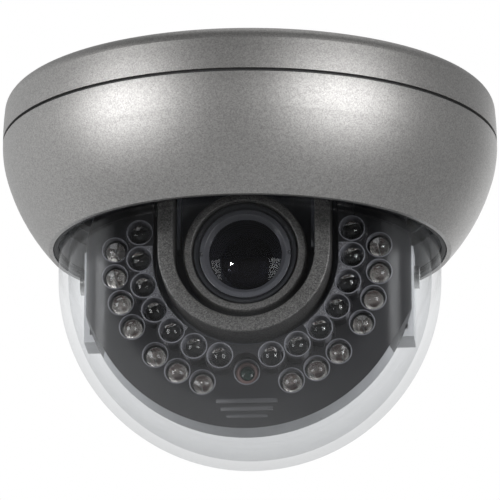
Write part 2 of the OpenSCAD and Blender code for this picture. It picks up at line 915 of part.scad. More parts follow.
module tilt_bracket() {
    ear_w = ear_front - ear_back;
    color("#c9cbd0")
        in_module()
            difference() {
                union() {
                    // Ring behind the LED board, with a bar out to the ears
                    translate([0, lens_rise, bracket_back])
                        cylinder(r = bracket_ring_r, h = bracket_t);
                    translate([-ear_x - ear_t, -ear_drop, bracket_back])
                        cube([2 * (ear_x + ear_t), ear_drop + bar_top, bracket_t]);
                    // Tongue to the lower screws, arms to the upper ones
                    translate([-tongue_half_w, -tongue_drop, bracket_back])
                        cube([2 * tongue_half_w, tongue_drop - ear_drop, bracket_t]);
                    translate([-upper_bar_half_w, boss_rise - upper_bar_h / 2, bracket_back])
                        cube([2 * upper_bar_half_w, upper_bar_h, bracket_t]);
                    for (side = [0, 1])
                        mirror([side, 0, 0]) {
                            translate([ear_x, -ear_drop, ear_back])
                                cube([ear_t, ear_drop + ear_top, ear_w]);
                            // Foot that stiffens the lower end of the ear
                            translate([ear_x - ear_foot_w, -ear_drop, ear_back])
                                cube([ear_foot_w + ear_t, ear_foot_t, ear_w]);
                        }
                    for (place = boss_places)
                        translate([place.x, place.y, bracket_front])
                            cylinder(r = boss_r, h = board_back - bracket_front);
                }
                translate([0, lens_rise, bracket_back - cut])
                    cylinder(r = bracket_hole_r, h = bracket_t + 2 * cut);
                for (place = boss_places)
                    translate([place.x, place.y, bracket_back - cut])
                        cylinder(r = screw_hole_r, h = board_back - bracket_back + 2 * cut);
                for (sx = [-1, 1], sy = [-1, 1])
                    translate([sx * board_screw_x, lens_rise + sy * board_screw_x,
                        bracket_back - cut])
                        cylinder(r = small_screw_r, h = bracket_t + 2 * cut);
                for (side = [-1, 1])
                    rotate([0, side * 90, 0])
                        translate([0, 0, ear_x - cut])
                            cylinder(r = pivot_r, h = ear_t + 2 * cut);
            }
}

// A shoulder screw whose shank goes through the ear and turns in the arm
module pivot_screw() {
    translate([ear_x + ear_t, 0, pivot_z])
        rotate([0, 90, 0])
            screw(pivot_head_r, small_head_h, pivot_r, ear_t + drop_gap + arm_t + pivot_end);
}

module tilt_pivot_left() {
    color("silver") mirror([1, 0, 0]) pivot_screw();
}

module tilt_pivot_right() {
    color("silver") pivot_screw();
}

module face_screws() {
    color("silver")
        in_module()
            for (place = boss_places)
                translate([place.x, place.y, bracket_back])
                    rotate([180, 0, 0])
                        screw(small_head_r, small_head_h, small_screw_r,
                            board_front - bracket_back + boss_screw_depth - 0.5);
}

// ---- Lens ----

module lens_barrel() {
    color("#141416")
        at_lens()
            rotate_extrude()
                difference() {
                    union() {
                        translate([0, focus_front + drop_gap])
                            square([barrel_r, barrel_front - focus_front - drop_gap]);
                        translate([0, rear_front])
                            square([tube_r, focus_front + drop_gap - rear_front]);
                    }
                    translate([0, rear_front - cut])
                        square([optic_bore_r, barrel_front - rear_front + 2 * cut]);
                    translate([0, glass_back]) square([glass_edge_r, glass_t + glass_lip]);
                    translate([0, glass_front])
                        square([glass_r + retaining_w, barrel_front - glass_front + cut]);
                }
}

module lens_retaining_ring() {
    color("#3c3d41")
        at_lens()
            rotate_extrude()
                difference() {
                    translate([glass_r, glass_front])
                        square([retaining_w, barrel_front - retaining_sink - glass_front]);
                    // Sloped inner edge that opens towards the front
                    polygon([
                        [glass_r - cut, glass_front + retaining_edge],
                        [glass_r, glass_front + retaining_edge],
                        [glass_r + 1, barrel_front],
                        [glass_r - cut, barrel_front]
                    ]);
                }
}

// A meniscus: a thick disc with a domed front and a hollow back
module front_lens() {
    front_curve_r = 22;
    back_curve_r = 12;
    sag = front_curve_r - sqrt(pow(front_curve_r, 2) - pow(glass_r - run_clear, 2));
    hollow_r = optic_bore_r - 0.5;
    hollow_sag = back_curve_r - sqrt(pow(back_curve_r, 2) - pow(hollow_r, 2));
    color([0.1, 0.1, 0.15, 0.7])
        at_lens()
            rotate_extrude()
                difference() {
                    translate([0, glass_back]) square([glass_edge_r, glass_t + sag]);
                    difference() {
                        translate([0, glass_front]) square([glass_edge_r + cut, sag + cut]);
                        translate([0, glass_front + sag - front_curve_r])
                            circle(front_curve_r);
                    }
                    intersection() {
                        translate([0, glass_back + hollow_sag - back_curve_r])
                            circle(back_curve_r);
                        translate([0, glass_back - cut])
                            square([hollow_r, hollow_sag + 2 * cut]);
                    }
                }
}

module iris_ring() {
    color("#0b0b0b")
        at_lens() ring(optic_bore_r, iris_hole_r, iris_back, iris_back + iris_t);
}

// A biconvex element near the back of the tube
module rear_lens() {
    centre = -6;
    curve_r = 14;
    edge_t = 1;
    edge = sqrt(pow(curve_r, 2) - pow(optic_bore_r, 2));
    color([0.2, 0.2, 0.3, 0.7])
        at_lens()
            rotate_extrude()
                intersection() {
                    translate([0, centre - curve_r]) square([optic_bore_r, 2 * curve_r]);
                    translate([0, centre - edge + edge_t / 2]) circle(curve_r);
                    translate([0, centre + edge - edge_t / 2]) circle(curve_r);
                }
}

module rear_barrel() {
    color("#141416")
        at_lens()
            rotate_extrude()
                difference() {
                    union() {
                        translate([0, rear_back]) square([rear_r, rear_front - rear_back]);
                        translate([0, spigot_end]) square([spigot_r, rear_back - spigot_end]);
                    }
                    translate([0, -sensor_board_back])
                        square([optic_bore_r, rear_front + sensor_board_back + cut]);
                }
}

// A knurled ring that turns on the lens tube, with a threaded hole for its lever
module lens_ring(back) {
    grip_count = 36;
    difference() {
        ring(ring_r, tube_r + run_clear, back, back + ring_w);
        for (i = [0:grip_count - 1])
            rotate([0, 0, (i + 0.5) * 360 / grip_count])
                translate([ring_r + 0.25, 0, back - cut])
                    cylinder(r = 0.6, h = ring_w + 2 * cut);
        translate([0, 0, back + ring_w / 2])
            rotate([-90, 0, 0]) cylinder(r = lever_foot_r, h = ring_r + cut);
    }
}

module lock_lever(back) {
    foot = tube_r + run_clear + overlap;
    translate([0, 0, back + ring_w / 2])
        rotate([-90, 0, 0]) {
            translate([0, 0, foot]) cylinder(r = lever_foot_r, h = ring_r - foot);
            translate([0, 0, ring_r]) cylinder(r = lever_r, h = lever_h - knob_h);
            translate([0, 0, ring_r + lever_h - knob_h]) cylinder(r = knob_r, h = knob_h);
        }
}

module focus_ring() {
    color("#1c1c1e") at_lens() rotate([0, 0, -lever_turn]) lens_ring(focus_back);
}

module focus_lock_lever() {
    color("#d0d0d2") at_lens() rotate([0, 0, -lever_turn]) lock_lever(focus_back);
}

module zoom_ring() {
    color("#1c1c1e") at_lens() rotate([0, 0, lever_turn]) lens_ring(zoom_back);
}

module zoom_lock_lever() {
    color("#d0d0d2") at_lens() rotate([0, 0, lever_turn]) lock_lever(zoom_back);
}

module lens_mount() {
    color("#1a1a1c")
        at_lens()
            difference() {
                union() {
                    translate([-mount_side / 2, -mount_side / 2, -sensor_board_back])
                        cube([mount_side, mount_side, mount_t]);
                    translate([0, 0, -sensor_board_back])
                        cylinder(r = mount_tube_r, h = rear_back + sensor_board_back - drop_gap);
                }
                translate([0, 0, -sensor_board_back - cut])
                    cylinder(r = spigot_r, h = sensor_board_back);
                for (sx = [-1, 1], sy = [-1, 1])
                    translate([sx * mount_screw_x, sy * mount_screw_x, -sensor_board_back - cut])
                        cylinder(r = small_screw_r, h = mount_t + 2 * cut);
            }
}

module lens_mount_screws() {
    color("silver")
        at_lens()
            for (sx = [-1, 1], sy = [-1, 1])
                translate([sx * mount_screw_x, sy * mount_screw_x, -sensor_board_back - board_t])
                    rotate([180, 0, 0])
                        screw(small_head_r, small_head_h, small_screw_r, board_t + mount_t - 0.2);
}

// ---- Electronics ----

module image_sensor() {
    color("#20242c")
        at_lens()
            translate([-sensor_side / 2, -sensor_side / 2, -sensor_board_back])
                cube([sensor_side, sensor_side, sensor_t]);
}

module circuit_board(front) {
    difference() {
        translate([-board_side / 2, -board_side / 2, front - board_t])
            cube([board_side, board_side, board_t]);
        for (sx = [-1, 1], sy = [-1, 1])
            translate([sx * board_screw_x, sy * board_screw_x, front - board_t - cut])
                cylinder(r = screw_hole_r, h = board_t + 2 * cut);
        children();
    }
}

module sensor_board() {
    color("#14502a")
        at_lens()
            circuit_board(-sensor_board_back)
                for (sx = [-1, 1], sy = [-1, 1])
                    translate([sx * mount_screw_x, sy * mount_screw_x,
                        -sensor_board_back - board_t - cut])
                        cylinder(r = screw_hole_r, h = board_t + 2 * cut);
}

module main_board() {
    color("#14502a") at_lens() circuit_board(main_board_front);
}

module at_board_screws() {
    for (sx = [-1, 1], sy = [-1, 1])
        translate([sx * board_screw_x, sy * board_screw_x, 0]) children();
}

module board_standoffs() {
    color("#c8b070")
        at_lens() at_board_screws()
            ring(standoff_r, small_screw_r, -sensor_board_back, bracket_back);
}

module board_spacers() {
    color("#c8b070")
        at_lens() at_board_screws()
            ring(standoff_r, screw_hole_r, main_board_front,
                -sensor_board_back - board_t);
}

module board_screws() {
    color("silver")
        at_lens() at_board_screws()
            translate([0, 0, main_board_front - board_t])
                rotate([180, 0, 0])
                    screw(small_head_r, small_head_h, small_screw_r,
                        2 * board_t + board_gap + board_screw_bite);
}

// A plug housing that opens away from the board
module board_connector(w) {
    inner_w = w - 2 * plug_wall;
    inner_h = plug_h - 2 * plug_wall;
    difference() {
        translate([-w / 2, -plug_h / 2, -plug_depth]) cube([w, plug_h, plug_depth]);
        translate([-inner_w / 2, -inner_h / 2, -plug_depth - cut])
            cube([inner_w, inner_h, plug_depth]);
    }
}

module board_connectors() {
    color("#efece2")
        at_lens()
            for (plug = plugs)
                translate([plug.x, plug.y, main_board_front - board_t]) board_connector(plug.z);
}

base_housing();
seam_gasket();
cable_grommet();
pan_washer();
pan_retainer();
pan_retainer_screws();
cover_shell();
dome_bubble();
dome_gasket();
dome_retaining_ring();
dome_ring_screws();
cover_lock_screw();
pan_platform();
yoke_arm_left();
yoke_arm_right();
yoke_screws();
face_plate();
light_shield();
lens_bezel();
led_board();
leds_inner_row();
leds_outer_row();
light_sensor();
tilt_bracket();
tilt_pivot_left();
tilt_pivot_right();
face_screws();
lens_barrel();
lens_retaining_ring();
front_lens();
iris_ring();
rear_lens();
rear_barrel();
lens_mount();
lens_mount_screws();
focus_ring();
focus_lock_lever();
zoom_ring();
zoom_lock_lever();
image_sensor();
sensor_board();
main_board();
board_standoffs();
board_spacers();
board_screws();
board_connectors();
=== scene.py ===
"""Looks of a dome camera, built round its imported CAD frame. Sizes are in millimetres."""

import math
import random

import bmesh
import bpy
from mathutils import Matrix, Vector


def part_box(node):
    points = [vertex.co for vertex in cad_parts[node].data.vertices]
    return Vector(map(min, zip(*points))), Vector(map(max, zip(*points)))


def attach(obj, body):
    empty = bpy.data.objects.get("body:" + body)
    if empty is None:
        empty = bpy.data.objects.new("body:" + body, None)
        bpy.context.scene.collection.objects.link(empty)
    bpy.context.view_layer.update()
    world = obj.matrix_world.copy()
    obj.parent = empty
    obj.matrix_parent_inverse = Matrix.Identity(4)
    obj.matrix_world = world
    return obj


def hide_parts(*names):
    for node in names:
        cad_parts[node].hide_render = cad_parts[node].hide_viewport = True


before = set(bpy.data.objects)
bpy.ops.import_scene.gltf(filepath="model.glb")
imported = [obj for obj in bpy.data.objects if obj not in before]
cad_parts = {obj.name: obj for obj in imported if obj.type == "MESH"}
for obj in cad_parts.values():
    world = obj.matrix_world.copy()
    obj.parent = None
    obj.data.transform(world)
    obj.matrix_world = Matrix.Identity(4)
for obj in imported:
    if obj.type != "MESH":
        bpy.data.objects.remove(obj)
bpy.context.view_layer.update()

MM = 0.001

# Facets in a full turn of the housing's, the lens's, an LED opening's and an LED's round pieces
BIG_TURN = 192
MIDDLE_TURN = 96
RIM_TURN = 48
SMALL_TURN = 32

# Sizes that a node's box doesn't give
DOME_R = 49.25
DOME_WALL = 2.5
DOME_FLANGE = 2.0
SEAM_SEAL_WIDTH = 2.2
DOME_SEAL_WIDTH = 1.5
SHIELD_WALL_IN = 18.0
SHIELD_WALL_OUT = 22.0
BEZEL_WIDTH = 2.3
MOUTH_DEPTH = 2.5
BARREL_TUBE_R = 11.0
SECOND_ELEMENT_R = 6.6
SECOND_ELEMENT_BACK = 7.0
SECOND_ELEMENT_FRONT = 8.0
LED_R = 2.5
LED_FLANGE_R = 2.88
LED_OPENING_R = 3.12
LED_RIM_R = 3.42


# ---------------------------------------------------------------- frame


def box_mm(node):
    """Lowest and highest corner of a CAD node, in millimetres."""
    low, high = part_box(node)
    return Vector(low) / MM, Vector(high) / MM


def half_width(node):
    """Half of a node's width, which is the radius of a round one."""
    low, high = box_mm(node)
    return (high.x - low.x) / 2


def front_of(node):
    """How far a node reaches forward of the tilt axis."""
    return -box_mm(node)[0].y


def back_of(node):
    """How far the back of a node is forward of the tilt axis."""
    return -box_mm(node)[1].y


def middle_z(node):
    """Height of a node's middle."""
    low, high = box_mm(node)
    return (low.z + high.z) / 2


# Height of the lens axis
LENS_Z = middle_z("lens_bezel")

# Fronts of the raised collar and of the plate, forward of the tilt axis
COLLAR_FRONT = front_of("face_plate")
PLATE_FRONT = front_of("leds_outer_row") - 0.2


def upright(x, y, height):
    """A point of a piece that is turned about the vertical axis."""
    return Vector((x, y, height)) * MM


def facing(x, y, forward):
    """A point of the camera module: right of and above the lens axis, and how far forward."""
    return Vector((x, -forward, LENS_Z + y)) * MM


def solids_of(node):
    """(lowest, highest) corners of each separate solid of a CAD node."""
    bm = bmesh.new()
    bm.from_mesh(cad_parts[node].data)
    bmesh.ops.remove_doubles(bm, verts=bm.verts, dist=0.002 * MM)
    waiting = set(bm.verts)
    found = []
    while waiting:
        reached = [waiting.pop()]
        solid = []
        while reached:
            vert = reached.pop()
            solid.append(vert.co / MM)
            for edge in vert.link_edges:
                other = edge.other_vert(vert)
                if other in waiting:
                    waiting.remove(other)
                    reached.append(other)
        low = Vector([min(co[i] for co in solid) for i in range(3)])
        high = Vector([max(co[i] for co in solid) for i in range(3)])
        found.append((low, high))
    bm.free()
    return sorted(found, key=lambda pair: tuple(round(v, 2) for v in pair[0]))


# ---------------------------------------------------------------- mesh


def rounded(corners, steps=4):
    """A closed outline from (x, y, radius) corners, each turned into an arc."""
    points = []
    for index, (x, y, radius) in enumerate(corners):
        before = Vector(corners[index - 1][:2])
        after = Vector(corners[(index + 1) % len(corners)][:2])
        corner = Vector((x, y))
        if radius <= 0:
            points.append((x, y))
            continue
        to_before = (before - corner).normalized()
        to_after = (after - corner).normalized()
        half = to_before.angle(to_after) / 2
        centre = corner + (to_before + to_after).normalized() * radius / math.sin(half)
        start = corner + to_before * radius / math.tan(half) - centre
        turn = math.pi - 2 * half
        if to_before.x * to_after.y - to_before.y * to_after.x > 0:
            turn = -turn
        for step in range(steps + 1):
            spoke = Matrix.Rotation(turn * step / steps, 2) @ start
            points.append(tuple(centre + spoke))
    return points


def arc(centre_x, centre_y, radius, start, end, steps):
    """Points (x, y) on an arc, from one angle to another in degrees."""
    angles = [math.radians(start + (end - start) * i / steps) for i in range(steps + 1)]
    return [(centre_x + radius * math.cos(a), centre_y + radius * math.sin(a)) for a in angles]


def circle_stations(count):
    """Stations (across, up, shift) all the way round an axis."""
    turns = [2 * math.pi * i / count for i in range(count)]
    return [(math.cos(t), math.sin(t), 0.0) for t in turns]


def u_stations(top, count=48):
    """Stations along a U: down the left side, round below and up the right side."""
    left = [(-1.0, 0.0, top), (-1.0, 0.0, top / 2)]
    turns = [math.pi + math.pi * i / count for i in range(count + 1)]
    below = [(math.cos(t), math.sin(t), 0.0) for t in turns]
    right = [(1.0, 0.0, top / 2), (1.0, 0.0, top)]
    return left + below + right


def sweep(bm, profile, stations, place, closed=True):
    """Sweeps a closed (radius, height) profile through the stations."""
    rings = [
        [bm.verts.new(place(r * across, r * up + shift, h)) for r, h in profile]
        for across, up, shift in stations
    ]
    count = len(profile)
    following_rings = rings[1:] + rings[:1] if closed else rings[1:]
    for ring, following in zip(rings, following_rings):
        for i in range(count):
            j = (i + 1) % count
            bm.faces.new((ring[i], ring[j], following[j], following[i]))
    if not closed:
        bm.faces.new(rings[0])
        bm.faces.new(list(reversed(rings[-1])))


def lathe(bm, profile, place, count, across=0.0, up=0.0):
    """Turns a closed (radius, height) profile round an axis at (across, up)."""
    sweep(bm, profile, circle_stations(count), lambda x, y, h: place(x + across, y + up, h))


def slab(bm, outline, back, front, edge, place):
    """A flat piece with rounded front edges: an (x, y) outline, drawn forward."""
    rim = [bm.verts.new(place(x, y, back)) for x, y in outline]
    lip = [bm.verts.new(place(x, y, front)) for x, y in outline]
    bm.faces.new(list(reversed(rim)))
    lid = bm.faces.new(lip)
    for i in range(len(rim)):
        j = (i + 1) % len(rim)
        bm.faces.new((rim[i], rim[j], lip[j], lip[i]))
    if edge > 0:
        bevel_edges(bm, list(lid.edges), edge, 3)


def bevel_edges(bm, edges, width, segments):
    """Rounds these edges."""
    bmesh.ops.bevel(
        bm,
        geom=edges,
        offset=width * MM,
        offset_type="OFFSET",
        segments=segments,
        profile=0.5,
        affect="EDGES",
        clamp_overlap=True,
    )


def brick(bm, low, high, edge=0.1, segments=2):
    """A block between two corners of the frame, with softened edges."""
    part = bmesh.new()
    bmesh.ops.create_cube(part, size=1.0)
    size = (Vector(high) - Vector(low)) * MM
    middle = (Vector(high) + Vector(low)) / 2 * MM
    bmesh.ops.scale(part, vec=size, verts=part.verts)
    bmesh.ops.translate(part, vec=middle, verts=part.verts)
    bevel_edges(part, list(part.edges), edge, segments)
    join_into(bm, part)


def join_into(bm, part):
    """Adds one mesh to another and frees it."""
    mesh = bpy.data.meshes.new("part")
    part.to_mesh(mesh)
    part.free()
    bm.from_mesh(mesh)
    bpy.data.meshes.remove(mesh)


def new_object(name, bm, sharp=35.0):
    """A smooth-shaded object from a mesh, with normals outward."""
    bmesh.ops.remove_doubles(bm, verts=bm.verts, dist=0.0005 * MM)
    bmesh.ops.recalc_face_normals(bm, faces=bm.faces)
    mesh = bpy.data.meshes.new(name)
    bm.to_mesh(mesh)
    bm.free()
    mesh.shade_smooth()
    mesh.set_sharp_from_angle(angle=math.radians(sharp))
    made = bpy.data.objects.new(name, mesh)
    bpy.context.scene.collection.objects.link(made)
    return made


def cut_away(target, cutter):
    """Cuts one object out of another for good."""
    step = target.modifiers.new("cut", "BOOLEAN")
    step.operation = "DIFFERENCE"
    step.solver = "EXACT"
    step.object = cutter
    graph = bpy.context.evaluated_depsgraph_get()
    mesh = bpy.data.meshes.new_from_object(target.evaluated_get(graph))
    old = target.data
    target.modifiers.clear()
    target.data = mesh
    bpy.data.meshes.remove(old)
    bpy.data.objects.remove(cutter)


def add_piece(made, body, material, replaced=()):
    """Makes an object a piece of the camera: its body, slot and material."""
    made.data.materials.clear()
    made.data.materials.append(material)
    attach(made, body)
    for node in replaced:
        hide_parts(node)
    return made


# ---------------------------------------------------------------- materials


class Surface:
    """A procedural material: one Principled shader and the nodes that feed it."""

    def __init__(self, name, colour, roughness, metallic=0.0):
        self.material = bpy.data.materials.new(name)
        self.material.use_nodes = True
        self.tree = self.material.node_tree
        self.shader = self.tree.nodes["Principled BSDF"]
        self.output = self.tree.nodes["Material Output"]
        self.colour = colour
        self.set("Base Color", (*colour, 1.0))
        self.set("Roughness", roughness)
        self.set("Metallic", metallic)
        self.place = self.add("ShaderNodeTexCoord").outputs["Object"]

    def set(self, socket, value):
        self.shader.inputs[socket].default_value = value
        return self

    def add(self, kind, **settings):
        node = self.tree.nodes.new(kind)
        for key, value in settings.items():
            setattr(node, key, value)
        return node

    def link(self, source, target):
        self.tree.links.new(source, target)

    def noise(self, size_mm, detail=2.0, stretch=(1.0, 1.0, 1.0)):
        """Noise from 0 to 1 whose lumps are about size_mm across."""
        texture = self.add("ShaderNodeTexNoise")
        texture.inputs["Scale"].default_value = 1.0 / (size_mm * MM)
        texture.inputs["Detail"].default_value = detail
        mapping = self.add("ShaderNodeMapping")
        mapping.inputs["Scale"].default_value = stretch
        self.link(self.place, mapping.inputs["Vector"])
        self.link(mapping.outputs["Vector"], texture.inputs["Vector"])
        return texture.outputs["Fac"]

    def cells(self, size_mm):
        """A random value for each cell about size_mm across."""
        texture = self.add("ShaderNodeTexVoronoi")
        texture.inputs["Scale"].default_value = 1.0 / (size_mm * MM)
        self.link(self.place, texture.inputs["Vector"])
        split = self.add("ShaderNodeSeparateColor")
        self.link(texture.outputs["Color"], split.inputs["Color"])
        return split.outputs["Red"]

    def spread(self, value, low, high, start=0.0, end=1.0):
        """Maps a value from start..end to low..high."""
        node = self.add("ShaderNodeMapRange")
        numbers = {"From Min": start, "From Max": end, "To Min": low, "To Max": high}
        for socket, number in numbers.items():
            node.inputs[socket].default_value = number
        self.link(value, node.inputs["Value"])
        return node.outputs["Result"]

    def math(self, operation, first, second):
        node = self.add("ShaderNodeMath", operation=operation)
        for socket, value in zip(node.inputs, (first, second)):
            if isinstance(value, (int, float)):
                socket.default_value = value
            else:
                self.link(value, socket)
        return node.outputs["Value"]

    def tint(self, factor):
        """Multiplies the base colour by a factor that varies over the surface."""
        node = self.add("ShaderNodeVectorMath", operation="SCALE")
        node.inputs[0].default_value = self.colour
        self.link(factor, node.inputs["Scale"])
        self.link(node.outputs["Vector"], self.shader.inputs["Base Color"])

    def mix(self, mask, first, second, target):
        """Mixes two colours by a mask and feeds them to a socket."""
        node = self.add("ShaderNodeMix", data_type="RGBA")
        sockets = [s for s in node.inputs if s.type == "RGBA"]
        for socket, value in zip(sockets, (first, second)):
            if isinstance(value, tuple):
                socket.default_value = (*value, 1.0)
            else:
                self.link(value, socket)
        self.link(mask, node.inputs["Factor"])
        result = [s for s in node.outputs if s.type == "RGBA"][0]
        self.link(result, target)

    def bump(self, height, depth_mm, strength=1.0):
        """Relief of the given depth."""
        node = self.add("ShaderNodeBump")
        node.inputs["Strength"].default_value = strength
        node.inputs["Distance"].default_value = depth_mm * MM
        self.link(height, node.inputs["Height"])
        self.link(node.outputs["Normal"], self.shader.inputs["Normal"])

    def rough(self, value, low, high):
        """Roughness that varies over the surface."""
        self.link(self.spread(value, low, high), self.shader.inputs["Roughness"])

    def clear_to_lamps(self):
        """Lets lamp light straight through, so that what is inside is lit."""
        path = self.add("ShaderNodeLightPath")
        clear = self.add("ShaderNodeBsdfTransparent")
        mixer = self.add("ShaderNodeMixShader")
        self.link(path.outputs["Is Shadow Ray"], mixer.inputs["Fac"])
        self.link(self.shader.outputs["BSDF"], mixer.inputs[1])
        self.link(clear.outputs["BSDF"], mixer.inputs[2])
        self.link(mixer.outputs["Shader"], self.output.inputs["Surface"])


def flake_paint(name, colour, roughness, metallic, contrast, flake=0.26):
    """Flakes of differing brightness, about flake millimetres across, in a slightly rough coat."""
    paint = Surface(name, colour, roughness, metallic)
    flakes = paint.spread(paint.cells(flake), 1.0 - contrast, 1.0 + contrast)
    soft = contrast * 0.4
    fine = paint.spread(paint.noise(flake * 1.6, 1.0), 1.0 - soft, 1.0 + soft, 0.3, 0.7)
    paint.tint(paint.math("MULTIPLY", flakes, fine))
    paint.rough(paint.noise(flake * 2.0, 1.0), roughness - 0.05, roughness + 0.05)
    paint.bump(paint.noise(flake, 1.0), 0.008, 0.4)
    return paint


def housing_paint():
    """Outside: fine grey metallic paint. Inside the shells: plain light grey, partly the unpainted
    plastic and partly painted light, made lighter to stand in for light reaching the inside through
    the dome.
    """
    paint = flake_paint("housing_paint", (0.405, 0.398, 0.39), 0.46, 0.9, 0.18)
    coordinates = paint.add("ShaderNodeTexCoord")
    flat = paint.add("ShaderNodeVectorMath", operation="MULTIPLY")
    flat.inputs[1].default_value = (1.0, 1.0, 0.0)
    paint.link(coordinates.outputs["Object"], flat.inputs[0])
    outward = paint.add("ShaderNodeVectorMath", operation="DOT_PRODUCT")
    paint.link(flat.outputs["Vector"], outward.inputs[0])
    paint.link(coordinates.outputs["Normal"], outward.inputs[1])
    inside = paint.math("LESS_THAN", outward.outputs["Value"], -2 * MM)
    outside_colour = paint.shader.inputs["Base Color"].links[0].from_socket
    # Inside colour: unpainted plastic, made lighter as painted light for the inside lit through the
    # dome
    paint.mix(inside, outside_colour, (0.80, 0.80, 0.82), paint.shader.inputs["Base Color"])
    paint.link(paint.spread(inside, 0.9, 0.0), paint.shader.inputs["Metallic"])
    return paint.material


def moulded(name, colour, roughness, grain_mm, depth_mm, mottle=0.08):
    """Moulded plastic with a fine sparked grain and slight unevenness."""
    plastic = Surface(name, colour, roughness)
    plastic.tint(plastic.spread(plastic.noise(6.0, 3.0), 1.0 - mottle, 1.0 + mottle, 0.3, 0.7))
    plastic.rough(plastic.noise(2.5, 3.0), roughness - 0.05, roughness + 0.05)
    plastic.bump(plastic.noise(grain_mm, 2.0), depth_mm, 0.6)
    return plastic.material


def speckled(name, colour, roughness, contrast):
    """Plastic with metal flakes, as the light shield and the bezel have."""
    return flake_paint(name, colour, roughness, 0.45, contrast, 0.24).material


def metal(name, colour, roughness, brush=(1.0, 1.0, 1.0), contrast=0.08):
    """Plated or turned metal with fine marks."""
    plate = Surface(name, colour, roughness, 1.0)
    marks = plate.noise(0.5, 3.0, brush)
    plate.tint(plate.spread(marks, 1.0 - contrast, 1.0 + contrast, 0.3, 0.7))
    plate.rough(plate.noise(0.9, 3.0, brush), max(0.03, roughness - 0.08), roughness + 0.08)
    plate.bump(marks, 0.006, 0.4)
    return plate.material


def anodised(name, colour, roughness):
    """Black anodised or painted lens parts, with faint turning marks."""
    black = Surface(name, colour, roughness, 0.0)
    marks = black.noise(0.25, 2.0, (1.0, 6.0, 1.0))
    black.tint(black.spread(marks, 0.85, 1.15, 0.3, 0.7))
    black.rough(marks, roughness - 0.06, roughness + 0.08)
    black.bump(marks, 0.01, 0.3)
    return black.material


def rubber(name, colour, roughness):
    """Dull rubber with a fine bloom."""
    soft = Surface(name, colour, roughness)
    soft.tint(soft.spread(soft.noise(1.2, 4.0), 0.75, 1.3, 0.3, 0.7))
    soft.bump(soft.noise(0.35, 2.0), 0.02, 0.5)
    return soft.material


def glass(name, colour, refraction, haze=0.0):
    """Clear moulded plastic or glass, with faint waviness."""
    clear = Surface(name, colour, haze)
    clear.set("Transmission Weight", 1.0)
    clear.set("IOR", refraction)
    clear.tint(clear.spread(clear.noise(9.0, 2.0), 0.99, 1.01, 0.3, 0.7))
    clear.clear_to_lamps()
    return clear


def dome_plastic():
    """The dome's clear wall: a see-through tint under a polished surface that reflects. The tint
    carries painted shade: it darkens towards the bottom of the bubble and at grazing angles.
    """
    clear = Surface("dome_clear", (0.97, 0.975, 0.98), 0.02)
    bottom = box_mm("dome_bubble")[0].z
    split = clear.add("ShaderNodeSeparateXYZ")
    clear.link(clear.place, split.inputs["Vector"])
    # Painted shade: the see-through tint darkens over the bubble's lowest 40 millimetres
    lower = clear.spread(split.outputs["Z"], 0.90, 1.0, bottom * MM, (bottom + 40) * MM)
    grazing = clear.add("ShaderNodeLayerWeight")
    grazing.inputs["Blend"].default_value = 0.5
    # Painted shade: the see-through tint darkens where the wall is seen at a grazing angle
    edge = clear.spread(grazing.outputs["Facing"], 1.0, 0.94, 0.55, 1.0)
    waves = clear.spread(clear.noise(9.0, 2.0), 0.995, 1.005, 0.3, 0.7)
    shade = clear.math("MULTIPLY", clear.math("MULTIPLY", lower, edge), waves)
    tinted = clear.add("ShaderNodeVectorMath", operation="SCALE")
    tinted.inputs[0].default_value = clear.colour
    clear.link(shade, tinted.inputs["Scale"])
    through = clear.add("ShaderNodeBsdfTransparent")
    clear.link(tinted.outputs["Vector"], through.inputs["Color"])
    polish = clear.spread(clear.math("POWER", grazing.outputs["Facing"], 5.0), 0.035, 0.5)
    clear.set("Base Color", (1.0, 1.0, 1.0, 1.0))
    clear.set("Metallic", 1.0)
    mixer = clear.add("ShaderNodeMixShader")
    clear.link(polish, mixer.inputs["Fac"])
    clear.link(through.outputs["BSDF"], mixer.inputs[1])
    clear.link(clear.shader.outputs["BSDF"], mixer.inputs[2])
    clear.link(mixer.outputs["Shader"], clear.output.inputs["Surface"])
    return clear.material


def circuit(name, mask_colour, trace_colour):
    """Printed circuit board: solder mask over copper runs, with vias."""
    board = Surface(name, mask_colour, 0.35)
    runs = board.add("ShaderNodeTexBrick")
    runs.inputs["Scale"].default_value = 1.0 / (2.4 * MM)
    runs.inputs["Mortar Size"].default_value = 0.09
    runs.inputs["Color1"].default_value = (0.0, 0.0, 0.0, 1.0)
    runs.inputs["Color2"].default_value = (0.25, 0.25, 0.25, 1.0)
    runs.inputs["Mortar"].default_value = (1.0, 1.0, 1.0, 1.0)
    swap = board.add("ShaderNodeMapping")
    swap.inputs["Rotation"].default_value = (math.pi / 2, 0.0, 0.0)
    board.link(board.place, swap.inputs["Vector"])
    board.link(swap.outputs["Vector"], runs.inputs["Vector"])
    patch = board.spread(board.noise(5.0, 1.0), 0.0, 1.0, 0.45, 0.55)
    split = board.add("ShaderNodeSeparateColor")
    board.link(runs.outputs["Color"], split.inputs["Color"])
    mask = board.math("MULTIPLY", split.outputs["Red"], patch)
    board.mix(mask, mask_colour, trace_colour, board.shader.inputs["Base Color"])
    board.bump(mask, 0.03, 0.5)
    board.set("Coat Weight", 0.5)
    board.set("Coat Roughness", 0.2)
    return board.material


def sensor_glass():
    """The photocell's dark green window."""
    window = Surface("photocell_window", (0.012, 0.03, 0.024), 0.08)
    window.tint(window.spread(window.noise(0.8, 2.0), 0.6, 1.6, 0.3, 0.7))
    window.set("Coat Weight", 1.0)
    window.set("Coat Roughness", 0.03)
    return window.material


